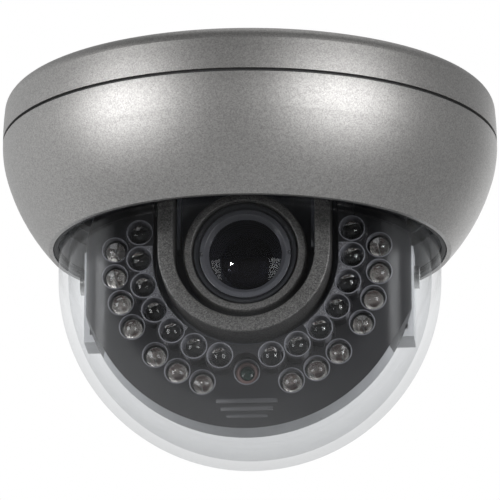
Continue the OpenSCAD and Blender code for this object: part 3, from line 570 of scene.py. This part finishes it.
paint = housing_paint()
light_grey = moulded("light_grey_plastic", (0.46, 0.465, 0.48), 0.38, 0.3, 0.008)
# A lighter copy of the light grey for the tilt bracket: partly painted light, standing in for light
# showing through its translucent ears
pale_grey_painted_backlight = moulded("pale_grey_plastic", (0.72, 0.73, 0.75), 0.38, 0.3, 0.008)
black_plastic = moulded("black_plastic", (0.018, 0.018, 0.02), 0.45, 0.25, 0.012)
face_black = moulded("face_plastic", (0.030, 0.030, 0.033), 0.3, 0.3, 0.002)
floor_grey = moulded("shield_floor", (0.095, 0.10, 0.12), 0.33, 0.3, 0.006)
shield_speckle = speckled("speckled_plastic", (0.115, 0.111, 0.107), 0.45, 0.5)
# Lighter speckle for the collar's top at the sides: the grain is its own, the lightness partly a
# painted highlight
island_speckle_and_highlight = speckled("speckled_rim_and_painted_highlight", (0.22, 0.22, 0.235), 0.4, 0.5)
gasket = rubber("gasket_rubber", (0.010, 0.010, 0.011), 0.55)
nylon = moulded("nylon_white", (0.72, 0.71, 0.66), 0.4, 0.4, 0.01)
zinc = metal("zinc_steel", (0.55, 0.56, 0.58), 0.32)
steel = metal("screw_steel", (0.62, 0.62, 0.61), 0.24)
black_steel = metal("black_screw_steel", (0.05, 0.05, 0.055), 0.34)
chrome = metal("lever_chrome", (0.75, 0.75, 0.76), 0.12)
brass = metal("brass_spacer", (0.72, 0.52, 0.24), 0.25)
cup_silver = metal("cup_silver", (0.70, 0.69, 0.67), 0.25, contrast=0.04)
barrel_black = anodised("barrel_black", (0.020, 0.021, 0.024), 0.30)
ring_grey = anodised("retaining_ring_grey", (0.075, 0.076, 0.085), 0.2)
dome_clear = dome_plastic()
lens_clear = glass("lens_glass", (0.28, 0.28, 0.34), 1.25).material
led_clear = glass("led_epoxy", (0.94, 0.94, 0.95), 1.53, 0.03).material
led_die = Surface("led_die", (0.10, 0.045, 0.04), 0.25).set("Coat Weight", 0.5).material
board_green = circuit("board_green", (0.010, 0.075, 0.030), (0.03, 0.17, 0.075))
board_black = circuit("board_black", (0.008, 0.009, 0.010), (0.05, 0.05, 0.05))
chip = moulded("sensor_chip", (0.02, 0.02, 0.024), 0.3, 0.2, 0.006)
connector = moulded("connector_white", (0.70, 0.69, 0.64), 0.38, 0.3, 0.008)
cell_body = moulded("sensor_plastic", (0.20, 0.13, 0.12), 0.35, 0.2, 0.006)
cell_window = sensor_glass()
rim_gloss = moulded("rim_gloss", (0.20, 0.20, 0.22), 0.16, 0.3, 0.004)
relief_grey = moulded("relief_grey", (0.075, 0.075, 0.08), 0.25, 0.3, 0.004)
# Light grey for the face plate's lower edge: a painted highlight
edge_highlight_grey = moulded("painted_edge_highlight", (0.50, 0.51, 0.53), 0.3, 0.3, 0.004)


def dress(nodes, material):
    """Gives carried-over CAD nodes a better material."""
    for node in nodes:
        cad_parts[node].material_slots[0].material = material


# ---------------------------------------------------------------- dome and seals


def clear_dome():
    """The bubble, its straight neck and its flange, as one even wall."""
    low, high = box_mm("dome_bubble")
    flange_r = high.x
    flange_low = high.z - DOME_FLANGE
    inner_r = DOME_R - DOME_WALL
    centre = low.z + DOME_R
    outside = arc(0.0, centre, DOME_R, -90.0, 0.0, 64)
    neck = rounded(
        [
            (DOME_R, centre + 1.0, 0.0),
            (DOME_R, flange_low, 0.4),
            (flange_r, flange_low, 0.4),
            (flange_r, high.z, 0.4),
            (inner_r, high.z, 0.6),
            (inner_r, centre + 1.0, 0.0),
        ]
    )
    inside = arc(0.0, centre, inner_r, 0.0, -90.0, 64)
    bm = bmesh.new()
    lathe(bm, outside + neck + inside, upright, BIG_TURN)
    dome = new_object("dome_shell", bm, 60)
    return add_piece(dome, "cover", dome_clear, ["dome_bubble"])


def round_seal(name, node, body, width):
    """A rubber ring with rounded edges in place of the plain one."""
    low, high = box_mm(node)
    inner_r = high.x - width
    edge = min(width, high.z - low.z) * 0.3
    bm = bmesh.new()
    profile = rounded(
        [
            (inner_r, low.z, edge),
            (high.x, low.z, edge),
            (high.x, high.z, edge),
            (inner_r, high.z, edge),
        ]
    )
    lathe(bm, profile, upright, BIG_TURN)
    add_piece(new_object(name, bm), body, gasket, [node])


# ---------------------------------------------------------------- light shield and lens


def light_shield():
    """The U-shaped wall round the lens, the floor that it stands on and two ribs inside it."""
    low, high = box_mm("light_shield")
    wall_top = high.z - LENS_Z
    floor_top = wall_top - 6.4
    floor_front = back_of("lens_bezel")
    shield_wall(floor_front - 0.2, -low.y, wall_top)
    shield_floor(-high.y, floor_front, floor_top)
    shield_ribs(floor_front, floor_top)


def shield_wall(back, front, top):
    """The wall of the light shield, with rounded edges at its front."""
    edge = 0.45
    profile = rounded(
        [
            (SHIELD_WALL_IN, back, 0.0),
            (SHIELD_WALL_IN, front, edge),
            (SHIELD_WALL_OUT, front, edge),
            (SHIELD_WALL_OUT, back, 0.0),
        ]
    )
    bm = bmesh.new()
    sweep(bm, profile, u_stations(top), facing, closed=False)
    wall = new_object("shield_wall", bm, 50)
    add_piece(wall, "tilt", shield_speckle, ["light_shield"])


def shield_floor(back, front, top):
    """The floor of the light shield, with a hole for the bezel's bore."""
    radius = half_width("light_shield")
    bore = half_width("lens_bezel") - BEZEL_WIDTH
    outline = [(-radius, top)] + arc(0.0, 0.0, radius, 180.0, 360.0, 64) + [(radius, top)]
    bm = bmesh.new()
    slab(bm, outline, back, front, 0.15, facing)
    plate = new_object("shield_floor", bm, 30)
    bm = bmesh.new()
    hole = [(0.0, back - 1), (bore, back - 1), (bore, front + 1), (0.0, front + 1)]
    lathe(bm, hole, facing, MIDDLE_TURN)
    cut_away(plate, new_object("cutter", bm))
    add_piece(plate, "tilt", floor_grey)


def shield_ribs(floor_front, top):
    """Two ribs that stand on the shield's floor beside its wall."""
    rib_x, half_thick, height, bottom = 17.2, 0.5, 4.5, 2.0
    bm = bmesh.new()
    for side in (-1, 1):
        low = (side * rib_x - half_thick, -floor_front - height, LENS_Z + bottom)
        high = (side * rib_x + half_thick, -floor_front + 0.2, LENS_Z + top)
        brick(bm, low, high, 0.15)
    add_piece(new_object("shield_ribs", bm, 30), "tilt", floor_grey)


def bezel():
    """The speckled ring round the lens, with rounded lips."""
    radius, front = half_width("lens_bezel"), front_of("lens_bezel")
    bore = radius - BEZEL_WIDTH
    back = back_of("lens_bezel") - 0.1
    bm = bmesh.new()
    profile = rounded(
        [
            (bore, back, 0.0),
            (radius, back, 0.0),
            (radius, front - 0.8, 0.3),
            (radius - 0.35, front, 0.35),
            (bore + 0.25, front, 0.35),
            (bore, front - 0.8, 0.2),
        ]
    )
    lathe(bm, profile, facing, MIDDLE_TURN)
    ring = new_object("bezel_ring", bm, 40)
    add_piece(ring, "tilt", shield_speckle, ["lens_bezel"])


def barrel():
    """The lens barrel: a sloped mouth, a tube behind its shoulder, and stepped baffles inside."""
    radius, front = half_width("lens_barrel"), front_of("lens_barrel")
    back = back_of("lens_barrel")
    shoulder = front_of("focus_ring") + 0.5
    seat = back_of("front_lens")
    glass_edge = half_width("front_lens") + 0.05
    baffles = baffle_steps(seat, back_of("iris_ring") + 2.2)
    throat = half_width("iris_ring") + 0.05
    tube = [(BARREL_TUBE_R, back), (BARREL_TUBE_R, shoulder), (radius, shoulder)]
    mouth = [
        (radius, front - 0.25),
        (radius - 0.25, front),
        (radius - 0.6, front),
        (radius - 1.3, front - 1.0),
        (radius - 1.45, front - 2.4),
        (glass_edge, front - MOUTH_DEPTH),
    ]
    inside = [(glass_edge, seat)] + baffles + [(throat, baffles[-1][1]), (throat, back)]
    bm = bmesh.new()
    lathe(bm, tube + mouth + inside, facing, MIDDLE_TURN)
    barrel_tube = new_object("barrel_tube", bm, 25)
    add_piece(barrel_tube, "tilt", barrel_black, ["lens_barrel"])


def baffle_steps(front, back):
    """Section (radius, forward) of the steps that narrow from the front glass to the iris."""
    radius, depth, narrowing, slope = 9.0, 0.7, 0.32, 0.1
    steps = []
    while front > back:
        steps += [(radius, front), (radius - slope, front - depth)]
        radius -= narrowing
        front -= depth
    return steps


def retaining_ring():
    """The sloped ring that holds the front glass, with two spanner notches."""
    node = "lens_retaining_ring"
    radius, front, back = half_width(node), front_of(node), back_of(node)
    bore = radius - 2.4
    bm = bmesh.new()
    profile = rounded(
        [
            (bore, back, 0.0),
            (radius, back, 0.0),
            (radius, front, 0.25),
            (bore + 1.1, front, 0.25),
            (bore, back + 0.5, 0.15),
        ]
    )
    lathe(bm, profile, facing, MIDDLE_TURN)
    ring = new_object("glass_ring", bm, 30)
    bm = bmesh.new()
    for side in (-1, 1):
        low_notch = (side * radius - 0.8, -front - 1, LENS_Z - 0.5)
        high_notch = (side * radius + 0.8, -front + 0.7, LENS_Z + 0.5)
        brick(bm, low_notch, high_notch, 0.05)
    cut_away(ring, new_object("cutter", bm))
    add_piece(ring, "tilt", ring_grey, [node])


def lens_body(name, edge_r, back_edge, front_edge, back_rise, front_rise):
    """A lens element: edge radius, flat edge from back to front, and how far each face bulges."""

    def face(edge_f, rise, outward):
        if abs(rise) < 0.01:
            return [(0.0, edge_f), (edge_r, edge_f)][::outward]
        radius = (edge_r**2 + rise**2) / (2 * abs(rise))
        sign = math.copysign(1.0, rise)
        half = math.asin(edge_r / radius)
        turns = [half * i / 20 for i in range(21)]
        crown = edge_f + rise
        points = [(radius * math.sin(t), crown - sign * radius * (1 - math.cos(t))) for t in turns]
        return points[::outward]

    bm = bmesh.new()
    lathe(bm, face(back_edge, back_rise, 1) + face(front_edge, front_rise, -1), facing, MIDDLE_TURN)
    return new_object(name, bm, 40)


def lenses():
    """Front meniscus, an inner element, the iris blades and the rear element."""
    radius, front, back = half_width("front_lens"), front_of("front_lens"), back_of("front_lens")
    edge = front_of("lens_barrel") - MOUTH_DEPTH
    element = lens_body("front_element", radius, back, edge, 1.9, front - edge)
    add_piece(element, "tilt", lens_clear, ["front_lens"])
    radius, back, front = SECOND_ELEMENT_R, SECOND_ELEMENT_BACK, SECOND_ELEMENT_FRONT
    element = lens_body("second_element", radius, back, front, -0.2, 1.5)
    add_piece(element, "tilt", lens_clear)
    radius, front, back = half_width("rear_lens"), front_of("rear_lens"), back_of("rear_lens")
    middle, half_edge = (front + back) / 2, 0.8
    rise = (front - back) / 2 - half_edge
    element = lens_body("rear_element", radius, middle - half_edge, middle + half_edge, -rise, rise)
    add_piece(element, "tilt", lens_clear, ["rear_lens"])
    iris_blades()


def iris_blades():
    """Six thin overlapping blades that leave a round hole."""
    radius = half_width("iris_ring")
    front, back = front_of("iris_ring"), back_of("iris_ring")
    blades, opening = 6, 3.2
    bm = bmesh.new()
    for index in range(blades):
        start = 360.0 * index / blades
        outline = arc(0.0, 0.0, radius - 0.2, start, start + 95.0, 12)
        outline += arc(0.0, 0.0, opening, start + 95.0, start, 12)
        lift = (front - back - 0.2) * index / blades
        slab(bm, outline, back + lift, back + lift + 0.1, 0.0, facing)
    add_piece(new_object("iris_blades", bm, 30), "tilt", barrel_black)


# ---------------------------------------------------------------- LEDs and face


def led_places(node):
    """Where each LED of a row stands, as (across, up)."""
    middles = [(low + high) / 2 for low, high in solids_of(node)]
    return [(middle.x, middle.z - LENS_Z) for middle in middles]


def led_row(row, node):
    """Clear LEDs with a flange, a silver cup, a die, two posts and a bond wire."""
    base, tip = back_of(node), front_of(node)
    post_base, cup_base, post_r = base + 0.3, base + 2.2, 1.25
    cup_rim, post_top, die_top = cup_base + 1.5, cup_base + 1.9, cup_base + 0.85
    epoxy = [(0.0, base), (LED_FLANGE_R, base), (LED_FLANGE_R, base + 0.9)]
    epoxy += [(LED_R + 0.1, base + 1.0), (LED_R, base + 1.15)]
    epoxy += arc(0.0, tip - LED_R, LED_R, 0.0, 90.0, 14)
    cup = [(0.0, cup_base), (0.95, cup_base), (1.25, cup_rim), (1.1, cup_rim)]
    cup += [(0.55, cup_base + 0.55), (0.0, cup_base + 0.55)]
    clear, cups, dies = bmesh.new(), bmesh.new(), bmesh.new()
    chooser = random.Random(row)
    for x, y in led_places(node):
        lathe(clear, epoxy, facing, SMALL_TURN, x, y)
        lathe(cups, cup, facing, SMALL_TURN, x, y)
        turn = chooser.uniform(0, math.pi)
        post_x, post_y = x + post_r * math.cos(turn), y + post_r * math.sin(turn)
        add_post(cups, x, y, post_base, cup_base, 0.45)
        add_post(cups, post_x, post_y, post_base, post_top, 0.3)
        add_wire(cups, (post_x, post_y, post_top - 0.05), (x, y, die_top))
        add_post(dies, x, y, cup_base + 0.5, die_top, 0.28, 0.03)
    add_piece(new_object(f"led_epoxy_{row}", clear, 40), "tilt", led_clear, [node])
    add_piece(new_object(f"led_cups_{row}", cups, 40), "tilt", cup_silver)
    add_piece(new_object(f"led_dies_{row}", dies, 40), "tilt", led_die)


def add_post(bm, x, y, back, front, half, edge=0.05):
    """A square post inside an LED, along the lens axis."""
    low = (x - half, -front, LENS_Z + y - half)
    high = (x + half, -back, LENS_Z + y + half)
    brick(bm, low, high, edge, 1)


def add_wire(bm, start, end):
    """A fine bond wire in a low arch, between (across, up, forward) points."""
    steps, sides, radius, arch = 8, 6, 0.05, 0.35
    first, last = Vector(start), Vector(end)
    spokes = [(radius * across, radius * up) for across, up, _ in circle_stations(sides)]
    rings = []
    for i in range(steps + 1):
        share = i / steps
        point = first.lerp(last, share)
        point.z += arch * math.sin(math.pi * share)
        places = [facing(point.x + dx, point.y + dy, point.z) for dx, dy in spokes]
        rings.append([bm.verts.new(place) for place in places])
    for ring, following in zip(rings, rings[1:]):
        for k in range(sides):
            j = (k + 1) % sides
            bm.faces.new((ring[k], ring[j], following[j], following[k]))
    bm.faces.new(rings[0])
    bm.faces.new(list(reversed(rings[-1])))


def sensor_place():
    """Where the light sensor stands, as (across, up)."""
    low, high = box_mm("light_sensor")
    return (low.x + high.x) / 2, middle_z("light_sensor") - LENS_Z


def rim_profile(front, depth):
    """Section of a thin rounded rim round an LED opening, and of the throat behind it."""
    lip = front + 0.12
    return rounded(
        [
            (LED_OPENING_R, front - depth, 0.0),
            (LED_OPENING_R + 0.1, front - depth, 0.0),
            (LED_RIM_R, front - 0.3, 0.0),
            (LED_RIM_R, lip, 0.1),
            (LED_OPENING_R, lip, 0.12),
        ]
    )


def led_rims():
    """A thin raised rim round each LED opening, and its glossy throat."""
    outer_places = led_places("leds_outer_row") + [sensor_place()]
    inner_places = led_places("leds_inner_row")
    rows = (
        ("outer_rims", outer_places, rim_profile(PLATE_FRONT, 2.2)),
        ("inner_rims", inner_places, rim_profile(COLLAR_FRONT, 6.6)),
    )
    for name, places, profile in rows:
        bm = bmesh.new()
        for x, y in places:
            lathe(bm, profile, facing, RIM_TURN, x, y)
        add_piece(new_object(name, bm, 40), "tilt", rim_gloss)


def speckled_islands_and_highlight():
    """The grained top of the collar at each side, scalloped by the LED openings. Its bright colour
    is partly a painted highlight: lighter than the shield's speckle, and stopping sweep_turn degrees
    below the sides, where the side light fades.
    """
    inner, outer, straight, sweep_turn = 23.75, 27.4, 3.0, 52.0
    back, front = COLLAR_FRONT - 0.3, COLLAR_FRONT + 0.05
    profile = rounded(
        [(inner, back, 0.0), (inner, front, 0.05), (outer, front, 0.05), (outer, back, 0.0)]
    )
    for name, side in (("collar_top_1", -1), ("collar_top_3", 1)):
        bent = [(side * x, y, 0.0) for x, y in arc(0.0, 0.0, 1.0, 0.0, -sweep_turn, 40)]
        bm = bmesh.new()
        sweep(bm, profile, [(side, 0.0, straight)] + bent, facing, closed=False)
        band = new_object(name, bm, 30)
        cut_away(band, led_cutter())
        band.data.shade_smooth()
        band.data.set_sharp_from_angle(angle=math.radians(30))
        add_piece(band, "tilt", island_speckle_and_highlight)


def led_cutter():
    """A short rod at each LED of the inner row, a little wider than its rim."""
    radius = LED_RIM_R + 0.03
    back, front = COLLAR_FRONT - 2, COLLAR_FRONT + 2
    rod = [(0.0, back), (radius, back), (radius, front), (0.0, front)]
    bm = bmesh.new()
    for x, y in led_places("leds_inner_row"):
        part = bmesh.new()
        lathe(part, rod, facing, RIM_TURN, x, y)
        bmesh.ops.remove_doubles(part, verts=part.verts, dist=0.0005 * MM)
        join_into(bm, part)
    return new_object("cutter", bm)


# Lower and upper edge from the lens axis, half width, and height above the plate
RELIEF_STEPS = (
    (-37.9, -36.7, 7.8, 0.5),
    (-39.9, -38.8, 6.65, 0.38),
    (-41.7, -40.8, 5.2, 0.26),
)


def face_relief():
    """Three shallow steps below the light sensor, each narrower than the one above."""
    corner = 0.3
    bm = bmesh.new()
    for low, high, half, lift in RELIEF_STEPS:
        corners = [(-half, low), (half, low), (half, high), (-half, high)]
        outline = rounded([(x, y, corner) for x, y in corners])
        slab(bm, outline, PLATE_FRONT - 0.3, PLATE_FRONT + lift, 0.12, facing)
    add_piece(new_object("face_relief", bm, 30), "tilt", relief_grey)


def painted_edge_highlight():
    """The lighter side of the face plate's lower end, a thin skin behind its dark front: a painted
    highlight in light grey, standing in for the edge lit by the surround.
    """
    drop = middle_z("tilt_pivot_left") - LENS_Z
    front, middle, back = PLATE_FRONT - 0.15, PLATE_FRONT - 2.8, PLATE_FRONT - 5.8
    profile = [
        (41.75, PLATE_FRONT - 0.5),
        (41.92, front),
        (42.52, middle),
        (42.98, back),
        (42.6, back),
        (42.1, middle),
    ]
    stations = [(x, y, drop) for x, y in arc(0.0, 0.0, 1.0, -150.0, -30.0, 72)]
    bm = bmesh.new()
    sweep(bm, profile, stations, facing, closed=False)
    add_piece(new_object("painted_edge_highlight", bm, 40), "tilt", edge_highlight_grey)


def photocell():
    """The light sensor: a pinkish body ring round a dark green window."""
    x, y = sensor_place()
    radius, base, tip = half_width("light_sensor"), back_of("light_sensor"), front_of("light_sensor")
    ring = rounded(
        [
            (0.0, base, 0.0),
            (radius, base, 0.0),
            (radius, tip, 0.4),
            (radius - 0.75, tip, 0.25),
            (radius - 1.0, tip - 0.8, 0.0),
            (0.0, tip - 0.8, 0.0),
        ]
    )
    bm = bmesh.new()
    lathe(bm, ring, facing, SMALL_TURN, x, y)
    body = new_object("photocell_ring", bm, 40)
    add_piece(body, "tilt", cell_body, ["light_sensor"])
    window_r, rise = radius - 1.02, 0.75
    bulge = [(window_r * r, tip - 0.6 + rise * f) for r, f in arc(0.0, 0.0, 1.0, 0.0, 90.0, 8)]
    bm = bmesh.new()
    lathe(bm, [(0.0, tip - 0.85), (window_r, tip - 0.85)] + bulge, facing, SMALL_TURN, x, y)
    add_piece(new_object("photocell_window", bm, 50), "tilt", cell_window)


# ---------------------------------------------------------------- studio


# Height the camera looks at
AIM_Z = -39.95

# The floor's size and how far it is below the ceiling, in metres
FLOOR_SIZE = 12.0
FLOOR_DROP = 2.7

# The camera's place, in degrees and metres, and its focal length in millimetres
AZIMUTH = 4.25
ELEVATION = -16.4
DISTANCE = 1.4
FOCAL_LENGTH = 391.0

# Name, direction from the camera housing, distance, size, brightness
LAMPS = (
    ("key_left", (-0.80, -0.60, 0.02), 1.1, (0.7, 0.8), 4.8),
    ("key_right", (0.70, -0.71, 0.02), 1.1, (0.75, 0.8), 4.8),
    ("top_fill", (0.1, 0.25, 1.0), 1.6, (1.2, 1.2), 0.6),
    ("back_fill", (0.3, 1.0, 0.1), 1.5, (1.2, 0.8), 0.8),
)

# Small bright lamps for the sparkle in the LEDs and on the lens
GLINTS = (
    ("glint_left", (-0.35, -0.93, 0.05), 1.2, (0.07, 0.07), 110.0),
    ("glint_right", (0.80, -0.60, 0.0), 1.2, (0.1, 0.2), 40.0),
)

# How the surround's brightness changes: direction from, to; brightness from, to
BEHIND = (-0.02, 0.14, 0.08, 0.8)
ABOVE = (0.2, 0.9, 1.0, 0.3)
SIDEWAYS = (0.1, 0.8, 1.0, 0.4)
BELOW = (-0.3, -0.95, 0.0, 0.5)


def area_light(name, direction, distance, size, radiance, target):
    """A soft box that faces the target. radiance is its brightness."""
    data = bpy.data.lights.new(name, "AREA")
    data.shape = "RECTANGLE"
    data.size, data.size_y = size
    data.energy = radiance * math.pi * size[0] * size[1]
    lamp = bpy.data.objects.new(name, data)
    bpy.context.scene.collection.objects.link(lamp)
    aim = Vector(direction).normalized()
    lamp.location = target + aim * distance
    lamp.rotation_euler = aim.to_track_quat("Z", "Y").to_euler()
    lamp.visible_camera = False
    return lamp


def keep_off(name, lamps, pieces):
    """Keeps these lamps from lighting or showing in these pieces."""
    spared = bpy.data.collections.new(name)
    for piece in pieces:
        spared.objects.link(piece)
    for held in spared.collection_objects:
        held.light_linking.link_state = "EXCLUDE"
    for lamp in lamps:
        lamp.light_linking.receiver_collection = spared


def ramp(tree, value, start, end, low, high):
    """Maps a value of the surround's shader from start..end to low..high."""
    node = tree.nodes.new("ShaderNodeMapRange")
    numbers = {"From Min": start, "From Max": end, "To Min": low, "To Max": high}
    for socket, number in numbers.items():
        node.inputs[socket].default_value = number
    tree.links.new(value, node.inputs["Value"])
    return node.outputs["Result"]


def combine(tree, operation, first, second):
    """Combines two values of the surround's shader."""
    node = tree.nodes.new("ShaderNodeMath")
    node.operation = operation
    tree.links.new(first, node.inputs[0])
    tree.links.new(second, node.inputs[1])
    return node.outputs["Value"]


def surround_brightness(tree):
    """How bright the surround is in each direction."""
    direction = tree.nodes.new("ShaderNodeTexCoord").outputs["Generated"]
    split = tree.nodes.new("ShaderNodeSeparateXYZ")
    tree.links.new(direction, split.inputs["Vector"])
    behind = ramp(tree, split.outputs["Y"], *BEHIND)
    above = ramp(tree, split.outputs["Z"], *ABOVE)
    sideways = ramp(tree, split.outputs["X"], *SIDEWAYS)
    below = ramp(tree, split.outputs["Z"], *BELOW)
    level = combine(tree, "MULTIPLY", combine(tree, "MULTIPLY", behind, above), sideways)
    return combine(tree, "MAXIMUM", level, below)


def world_light():
    """A surround of varying brightness, which looks plain white to the camera and through glass."""
    world = bpy.data.worlds.new("studio")
    bpy.context.scene.world = world
    world.use_nodes = True
    tree = world.node_tree
    shining = tree.nodes["Background"]
    shining.inputs["Color"].default_value = (0.98, 0.99, 1.0, 1.0)
    tree.links.new(surround_brightness(tree), shining.inputs["Strength"])
    seen = tree.nodes.new("ShaderNodeBackground")
    seen.inputs["Color"].default_value = (1.0, 1.0, 1.0, 1.0)
    path = tree.nodes.new("ShaderNodeLightPath").outputs
    straight = combine(tree, "MAXIMUM", path["Is Camera Ray"], path["Is Transmission Ray"])
    mixer = tree.nodes.new("ShaderNodeMixShader")
    tree.links.new(straight, mixer.inputs["Fac"])
    tree.links.new(shining.outputs["Background"], mixer.inputs[1])
    tree.links.new(seen.outputs["Background"], mixer.inputs[2])
    tree.links.new(mixer.outputs["Shader"], tree.nodes["World Output"].inputs["Surface"])


def hang(lamps, target):
    """Area lights from a table of lamps."""
    return [
        area_light(name, direction, distance, size, radiance, target)
        for name, direction, distance, size, radiance in lamps
    ]


def studio(dome):
    """Pale floor, soft lights, a white surround and the camera."""
    target = Vector((0.0, 0.0, AIM_Z * MM))
    pale_floor()
    shells = [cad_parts[name] for name in ("base_housing", "cover_shell", "face_plate")]
    keep_off("not_lit_by_lamps", hang(LAMPS, target), [dome])
    keep_off("not_lit_by_glints", hang(GLINTS, target), [dome] + shells)
    world_light()
    bpy.context.scene.view_settings.view_transform = "Standard"
    photo_camera(target)


def pale_floor():
    """A wide floor far below the ceiling."""
    bm = bmesh.new()
    bmesh.ops.create_grid(bm, x_segments=2, y_segments=2, size=FLOOR_SIZE)
    bmesh.ops.translate(bm, vec=(0.0, 0.0, -FLOOR_DROP), verts=bm.verts)
    ground = new_object("studio_floor", bm)
    pale = Surface("studio_floor", (0.86, 0.86, 0.86), 0.9)
    ground.data.materials.append(pale.material)
    ground.visible_glossy = False


def photo_camera(target):
    """The camera that sees the object as the photo does."""
    azimuth, elevation = math.radians(AZIMUTH), math.radians(ELEVATION)
    across = math.sin(azimuth) * math.cos(elevation)
    forward = math.cos(azimuth) * math.cos(elevation)
    back = Vector((across, -forward, math.sin(elevation)))
    data = bpy.data.cameras.new("camera")
    data.sensor_width = 36.0
    data.lens = FOCAL_LENGTH
    data.clip_start = 0.05
    data.clip_end = 60.0
    camera = bpy.data.objects.new("camera", data)
    bpy.context.scene.collection.objects.link(camera)
    camera.location = target + back * DISTANCE
    camera.rotation_euler = back.to_track_quat("Z", "Y").to_euler()
    bpy.context.scene.camera = camera


dress(["base_housing", "cover_shell"], paint)
dress(["cable_grommet"], gasket)
dress(["pan_washer"], nylon)
dress(["pan_retainer"], zinc)
dress(
    [
        "pan_retainer_screws",
        "dome_ring_screws",
        "yoke_screws",
        "tilt_pivot_left",
        "tilt_pivot_right",
        "face_screws",
        "lens_mount_screws",
        "board_screws",
    ],
    steel,
)
dress(["cover_lock_screw"], black_steel)
dress(["dome_retaining_ring", "yoke_arm_left", "yoke_arm_right"], light_grey)
# The bracket's pale grey is partly painted light through its translucent ears
dress(["tilt_bracket"], pale_grey_painted_backlight)
dress(["pan_platform", "lens_mount"], black_plastic)
dress(["face_plate"], face_black)
dress(["rear_barrel", "iris_ring", "focus_ring", "zoom_ring"], barrel_black)
dress(["focus_lock_lever", "zoom_lock_lever"], chrome)
dress(["led_board"], board_black)
dress(["sensor_board", "main_board"], board_green)
dress(["board_spacers", "board_standoffs"], brass)
dress(["board_connectors"], connector)
dress(["image_sensor"], chip)
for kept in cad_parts.values():
    kept.data.shade_smooth()
    kept.data.set_sharp_from_angle(angle=math.radians(28))

dome_piece = clear_dome()
round_seal("dome_seal", "dome_gasket", "cover", DOME_SEAL_WIDTH)
round_seal("seam_seal", "seam_gasket", "base", SEAM_SEAL_WIDTH)
light_shield()
bezel()
barrel()
retaining_ring()
lenses()
led_row("inner", "leds_inner_row")
led_row("outer", "leds_outer_row")
led_rims()
speckled_islands_and_highlight()
face_relief()
painted_edge_highlight()
photocell()
studio(dome_piece)
